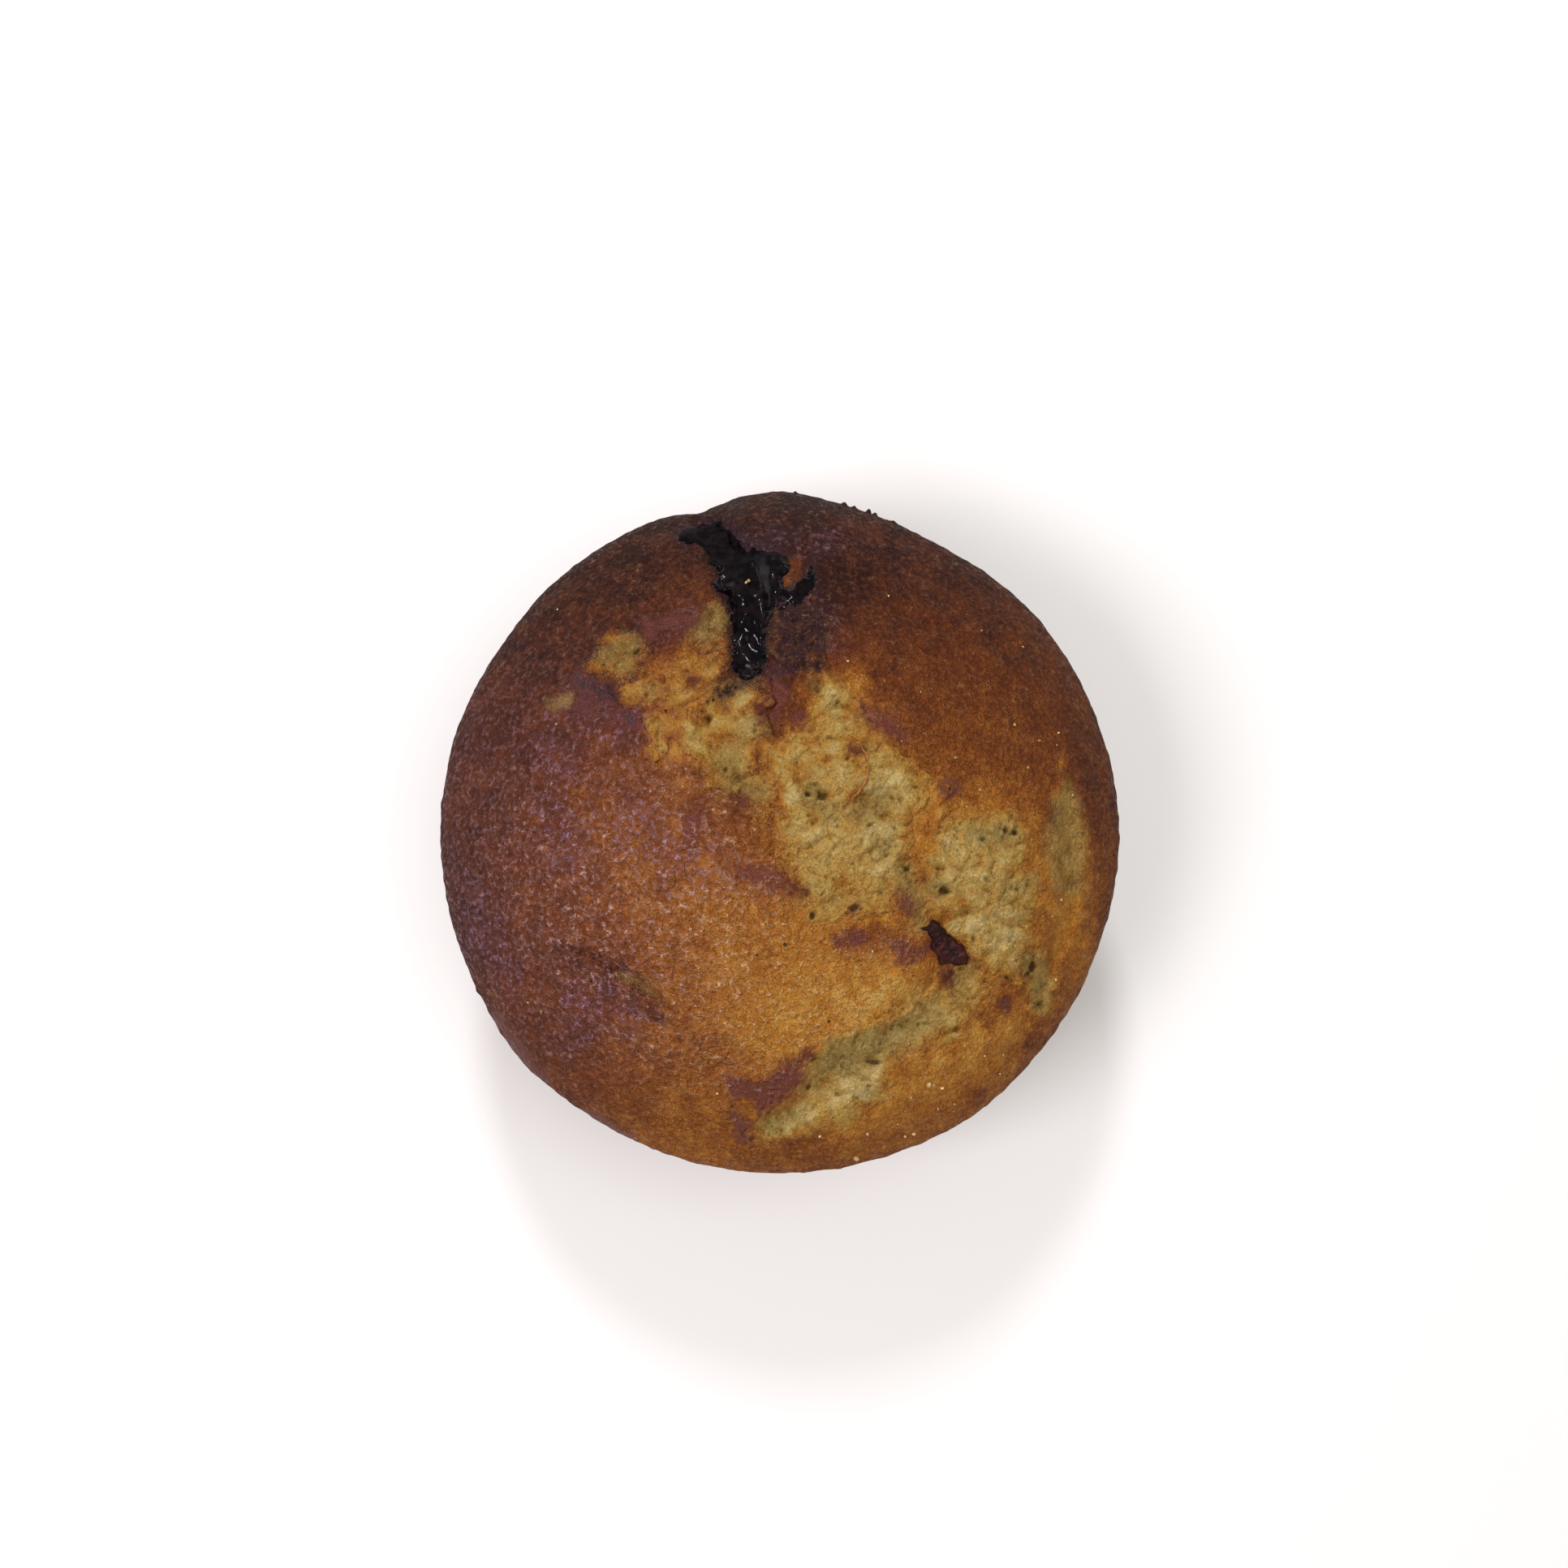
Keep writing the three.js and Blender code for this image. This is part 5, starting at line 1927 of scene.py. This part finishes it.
@dataclass
class ChocolatePatch:
    """Chocolate inside an outline on the dome, as a closed sheet whose edges dive under."""

    name: str
    outline: Outline
    loaf: Loaf
    folds: tuple[Trail, ...] = ()
    least: float = 0.45
    shortfall: float = 9.0
    ridge: float = 0.3
    ridge_size: float = 4.2
    roughness: float = 0.06
    fold: float = 0.3
    fray: float = 0.6
    shoulder: float = 0.9
    step: float = 0.18
    dive: float = 0.9
    slab: float = 1.6

    def build(self, finish: bpy.types.Material) -> bpy.types.Object:
        """Makes the patch.

        Args:
            finish: The chocolate's material.

        Returns:
            The piece.
        """
        corners = np.array(self.outline.corners)
        low = corners.min(axis=0) - 1.5
        high = corners.max(axis=0) + 1.5
        across = np.arange(low[0], high[0], self.step)
        along = np.arange(low[1], high[1], self.step)
        x, y = np.meshgrid(across, along, indexing="ij")
        inside = self.outline.inside(x, y) + self.fray * self.loaf.fine.layered(x, y, 12, 1.4, 3)
        ground = self.loaf.top_at(x, y)
        level = self.loaf.dome_at(np.hypot(x, y) / self.loaf.rim_radius) - self.shortfall
        fill = np.maximum(ground + self.least, level)
        body = soft(inside, -0.2, self.shoulder)
        ridges = self.ridge * self.loaf.coarse.layered(x, y, 3, self.ridge_size, 2)
        ridges = ridges + self.roughness * self.loaf.fine.layered(x, y, 8, 0.36 * self.ridge_size, 2)
        for fold in self.folds:
            gap, half = fold.nearest(x, y)
            ridges = ridges + self.fold * np.exp(-((gap / half) ** 2))
        upper = ground + body * (fill - ground + ridges) - self.dive * soft(inside, 0.0, -0.8)
        lower = ground - self.dive - self.slab * soft(inside, -1.2, 1.0) - 0.05
        mesh, _ = slab(x, y, upper, lower, inside > -1.0, self.name)
        return dressed(mesh, finish)

    @classmethod
    def melted(cls, loaf: Loaf) -> "ChocolatePatch":
        """Lays out the melted chocolate that fills the tear at the back.

        Args:
            loaf: The cake that it lies in.

        Returns:
            The patch, not built yet.
        """
        outline = Outline(
            (
                (-15.7, 42.0), (-14.6, 44.0), (-12.0, 45.8), (-10.0, 46.0), (-8.0, 44.3), (-6.4, 41.4),
                (-4.0, 40.0), (-0.6, 39.4), (0.9, 38.0), (0.8, 36.6), (-0.4, 35.2), (-0.2, 34.0),
                (1.0, 34.0), (2.6, 35.1), (3.7, 35.6), (3.8, 37.6), (4.3, 37.6), (4.6, 34.6),
                (3.7, 33.4), (2.8, 31.8), (0.8, 30.4), (-1.6, 29.2), (-2.5, 26.4), (-2.8, 22.6),
                (-3.4, 20.9), (-4.7, 19.9), (-6.2, 20.2), (-7.3, 21.7), (-7.8, 24.0), (-7.6, 31.0),
                (-8.2, 33.0), (-9.8, 33.4), (-10.3, 35.5), (-9.9, 37.6), (-10.9, 39.4), (-11.6, 41.0),
                (-13.2, 41.7),
            )
        )
        folds = routes(
            ((-5.4, 30, 0.9), (-6.2, 28.6, 1), (-5.5, 27.2, 0.9), (-6.4, 25.6, 1), (-5.8, 24, 0.8)),
            ((-1.8, 29.2, 0.8), (-3.2, 28.3, 1), (-4.1, 27.3, 1), (-3.7, 25.4, 0.8)),
            ((-2, 36, 0.8), (-1, 37.1, 1), (0.2, 37.5, 0.8)),
            ((-3.4, 33.4, 0.9), (-1.2, 32.8, 0.9)),
            ((-5.6, 38, 0.9), (-4.4, 38.6, 0.8)),
            ((-9.6, 37.6, 0.7), (-9.2, 36.6, 0.7)),
            ((-7.2, 34, 0.9), (-5.8, 32.4, 0.9)),
            ((-5.4, 22.8, 0.8), (-4.2, 22, 0.7)),
        )
        return cls("melted_chocolate", outline, loaf, folds=folds, shortfall=1.2)

    @classmethod
    def splinter(cls, loaf: Loaf) -> "ChocolatePatch":
        """Lays out the splinter of set chocolate that stands in the lower tear.

        Args:
            loaf: The cake that it lies in.

        Returns:
            The patch, not built yet.
        """
        outline = Outline(
            (
                (18.9, -14.8), (20.1, -14.3), (20.6, -13.7), (21.6, -13.9), (22.8, -15.1), (24.2, -16.7),
                (25.2, -17.3), (26.0, -18.9), (25.9, -19.8), (24.7, -20.2), (23.0, -19.7), (21.9, -19.7),
                (21.5, -18.3), (20.4, -17.6), (20.8, -16.3), (20.0, -15.7), (19.8, -15.2),
            )
        )
        keel = routes(((20.8, -14.8, 0.6), (22.8, -16.6, 0.9), (25, -19, 0.8)))
        return cls(
            "dark_chocolate_splinter", outline, loaf, folds=keel, least=0.75, ridge=0.4, ridge_size=1.4,
            roughness=0.2, fold=0.5, fray=0.22, shoulder=0.3, step=0.1, slab=1.2,
        )


@dataclass
class Fibre:
    """A thin reddish banana fibre that lies over the crumb."""

    loaf: Loaf
    path: tuple[Pair, ...] = (
        (10.4, 10.2), (11.1, 8.9), (11.3, 7.4), (11.0, 5.6), (10.2, 4.1), (9.3, 3.2),
    )
    radius: float = 0.17
    lift: float = 0.8
    rings: int = 60
    sides: int = 8

    def build(self, finish: bpy.types.Material) -> bpy.types.Object:
        """Makes the fibre as a closed thin tube.

        Args:
            finish: Its material.

        Returns:
            The piece.
        """
        knots = np.array(self.path)
        at = np.linspace(0.0, len(knots) - 1.0, self.rings)
        x, y = (self.rounded(knots[:, side], at) for side in (0, 1))
        z = self.loaf.top_at(x, y) + self.lift
        middle = np.stack([x, y, z], axis=1)
        ahead = np.gradient(middle, axis=0)
        ahead /= np.linalg.norm(ahead, axis=1, keepdims=True)
        aside = np.cross(ahead, (0.0, 0.0, 1.0))
        aside /= np.linalg.norm(aside, axis=1, keepdims=True)
        above = np.cross(aside, ahead)
        turn = 2 * np.pi * np.arange(self.sides) / self.sides
        thick = self.radius * (0.55 + 0.45 * np.sin(np.pi * at / at[-1]))[:, None, None]
        ring = np.cos(turn)[None, :, None] * aside[:, None] + np.sin(turn)[None, :, None] * above[:, None]
        points = np.concatenate([(middle[:, None] + thick * ring).reshape(-1, 3), middle[[0, -1]]])
        here = np.arange(self.sides)
        there = (here + 1) % self.sides
        faces = []
        for row in range(self.rings - 1):
            a, b = row * self.sides, (row + 1) * self.sides
            faces.append(np.stack([a + here, a + there, b + there], axis=1))
            faces.append(np.stack([a + here, b + there, b + here], axis=1))
        first, last = len(points) - 2, len(points) - 1
        end = (self.rings - 1) * self.sides
        faces.append(np.stack([first + 0 * here, there, here], axis=1))
        faces.append(np.stack([last + 0 * here, end + here, end + there], axis=1))
        mesh = mesh_from(points, np.concatenate(faces), "banana_fibre")
        return dressed(mesh, finish)

    def rounded(self, knots: Array, at: Array) -> Array:
        """Values along a smooth curve through knots.

        Args:
            knots: The values at places 0, 1, 2 and so on.
            at: The places wanted.

        Returns:
            The values there.
        """
        padded = np.concatenate([[2 * knots[0] - knots[1]], knots, [2 * knots[-1] - knots[-2]]])
        cell = np.minimum(at.astype(int), len(knots) - 2)
        t = at - cell
        a, b, c, d = (padded[cell + step] for step in range(4))
        bend = (2 * a - 5 * b + 4 * c - d) * t**2
        twist = (3 * b - a - 3 * c + d) * t**3
        return 0.5 * (2 * b + (c - a) * t + bend + twist)


@dataclass
class PaleGrains:
    """Pale grains of crumb that lie on the crust, mostly near the rim in front."""

    loaf: Loaf
    places: Triples = (
        (11.0, -48.2, 0.42), (19.3, -44.6, 0.3), (12.3, -44.3, 0.24), (18.0, -44.9, 0.22),
        (22.9, -37.6, 0.22), (20.8, -37.0, 0.32), (21.6, -37.1, 0.26), (5.4, -44.5, 0.2),
        (24.0, 9.1, 0.24), (33.2, 14.4, 0.2), (35.0, 8.2, 0.2), (37.0, 12.3, 0.22), (18.3, -38.8, 0.2),
        (30.4, 1.2, 0.26),
    )
    on_chocolate: Triples = ((-5.0, 35.2, 0.3), (-5.4, 35.0, 0.2))
    chocolate_lift: float = 2.35
    strewn: int = 40
    span_x: Pair = (-44.0, 46.0)  # least and greatest x of the strewn grains
    span_y: Pair = (-47.0, 40.0)
    farthest: float = 48.0  # none is strewn farther from the middle
    sizes: Pair = (0.1, 0.18)
    seed: int = 17

    def build(self, finish: bpy.types.Material) -> bpy.types.Object:
        """Makes all the grains as one mesh of uneven balls.

        Args:
            finish: Their material.

        Returns:
            The piece.
        """
        draw = np.random.default_rng(self.seed)
        spots = [*self.on_chocolate, *self.places]
        named = len(spots)
        while len(spots) < named + self.strewn:
            x, y = draw.uniform(*self.span_x), draw.uniform(*self.span_y)
            odds = 0.25 + 0.5 * (x > 8)  # most lie on the right
            if math.hypot(x, y) < self.farthest and draw.uniform() < odds:
                spots.append((x, y, draw.uniform(*self.sizes)))
        form = bpy.data.meshes.new("grain_form")
        mould = bmesh.new()
        bmesh.ops.create_icosphere(mould, subdivisions=2, radius=1.0)
        mould.to_mesh(form)
        mould.free()
        ball = np.array([tuple(point.co) for point in form.vertices])
        sides = np.array([tuple(face.vertices) for face in form.polygons])
        bpy.data.meshes.remove(form)
        points, faces = [], []
        for number, (x, y, radius) in enumerate(spots):
            lump = 1 + 0.3 * self.loaf.fine.at(*(ball + 3.7 * number).T, 0.9)
            grain = ball * lump[:, None] * radius * draw.uniform((0.8, 0.8, 0.6), (1.2, 1.2, 0.8))
            lift = self.chocolate_lift if number < len(self.on_chocolate) else 0.15
            place = (x, y, float(self.loaf.top_at(np.array([x]), np.array([y]))[0]) + lift + 0.3 * radius)
            faces.append(sides + number * len(ball))
            points.append(grain + place)
        mesh = mesh_from(np.concatenate(points), np.concatenate(faces), "pale_grains")
        return dressed(mesh, finish)


# ---- The studio ----


@dataclass(frozen=True)
class SoftLight:
    """A square soft light."""

    name: str
    place: tuple[float, float, float]  # metres
    size: float  # length of its side, in metres
    power: float  # watts
    colour: Colour

    def build(self, aim: Vector) -> None:
        """Makes the light.

        Args:
            aim: The point that it faces.
        """
        light = bpy.data.lights.new(self.name, "AREA")
        light.shape = "SQUARE"
        light.size = self.size
        light.energy = self.power
        light.color = self.colour[:3]
        lamp = show(bpy.data.objects.new(self.name, light))
        lamp.location = self.place
        lamp.rotation_euler = (aim - Vector(self.place)).to_track_quat("-Z", "Y").to_euler()


@dataclass
class Studio:
    """Floor, soft lights and the camera above the cake."""

    eye: tuple[float, float, float] = (-0.0082, -0.0164, 0.300)
    aim: tuple[float, float, float] = (0.00049, 0.00696, 0.030)
    lens: float = 41.4
    sensor_width: float = 36.0
    nearest: float = 0.01  # what is nearer to the camera isn't drawn
    floor_size: float = 4.0
    floor_tint: Colour = tint(236, 234, 231)
    lit_height: float = 0.03  # the height on the cake that the lights face
    lights: tuple[SoftLight, ...] = (
        SoftLight("sky_panel", (0.25, -0.05, 1.0), 0.8, 4.3, tint(255, 251, 246)),
        SoftLight("window", (-0.56, -0.2, 0.8), 0.4, 6.0, tint(244, 238, 244)),
        SoftLight("lamp", (-0.1, 0.72, 0.68), 0.14, 4.2, tint(250, 251, 255)),
    )

    def build(self) -> None:
        """Makes the floor, the lights, the surrounding light and the camera."""
        self.make_floor()
        for light in self.lights:
            light.build(Vector((0, 0, self.lit_height)))
        self.make_surroundings()
        self.make_camera()
        bpy.context.scene.view_settings.view_transform = "Standard"

    def make_floor(self) -> None:
        """Makes the plain pale floor."""
        half = self.floor_size / 2
        mesh = bpy.data.meshes.new("floor")
        corners = [(-half, -half, 0), (half, -half, 0), (half, half, 0), (-half, half, 0)]
        mesh.from_pydata(corners, [], [(0, 1, 2, 3)])
        material, wiring, shader = new_material("floor_paper")
        mottle = wiring.noise(wiring.spot(), 6.0)
        paler = tuple(min(1.0, part * 1.02) for part in self.floor_tint)
        wiring.feed(shader.inputs["Base Color"], wiring.blend(mottle, self.floor_tint, paler))
        shader.inputs["Roughness"].default_value = 0.9
        dressed(mesh, material)

    def make_surroundings(self) -> None:
        """Makes the even light that comes from all round."""
        world = bpy.data.worlds.new("surroundings")
        world.use_nodes = True
        background = next(node for node in world.node_tree.nodes if node.type == "BACKGROUND")
        background.inputs["Color"].default_value = tint(246, 246, 248)
        background.inputs["Strength"].default_value = 0.34
        bpy.context.scene.world = world

    def make_camera(self) -> None:
        """Makes the camera, which looks down with the cake's +Y upwards in the view."""
        camera = bpy.data.cameras.new("camera")
        camera.lens = self.lens
        camera.sensor_width = self.sensor_width
        camera.clip_start = self.nearest
        eye, aim = Vector(self.eye), Vector(self.aim)
        forward = (aim - eye).normalized()
        right = forward.cross(Vector((0, 1, 0))).normalized()
        up = right.cross(forward)
        holder = show(bpy.data.objects.new("camera", camera))
        turned = Matrix((right, up, -forward)).transposed().to_4x4()
        holder.matrix_world = Matrix.Translation(eye) @ turned
        bpy.context.scene.camera = holder


# ---- Putting it together ----


def enlist(piece: bpy.types.Object, slot: str, *nodes: str) -> None:
    """Ties a piece to the cake's body, hides the solids that it stands for, and logs its triangles.

    Args:
        piece: The piece.
        slot: The material slot, which is not used.
        nodes: Names of the solids that it replaces.
    """
    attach(piece, BODY)
    if nodes:
        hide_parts(*nodes)
    LOG.info("%s: %d triangles", piece.name, len(piece.data.polygons))


def main() -> None:
    """Builds the cake, its chocolate and the studio."""
    logging.basicConfig(level=logging.INFO, format="%(name)s: %(message)s")
    Studio().build()
    loaf = Loaf.around("bread")
    baked = BakedFinish().build()
    cake = Relief().grow(loaf.build(), "cake", baked)
    enlist(cake, "crust_and_crumb", "bread")
    enlist(OpenCrumb(loaf).build(baked), "crust_and_crumb")
    melted = ChocolatePatch.melted(loaf).build(MeltedFinish().build())
    enlist(melted, "melted_chocolate", "chocolate_pool")
    set_hard = SplinterFinish().build()
    enlist(ChocolatePatch.splinter(loaf).build(set_hard), "set_chocolate", "chocolate_shard")
    enlist(Fibre(loaf).build(FibreFinish().build()), "crust_and_crumb")
    enlist(PaleGrains(loaf).build(GrainFinish().build()), "crust_and_crumb")


if __name__ == "__main__":
    main()
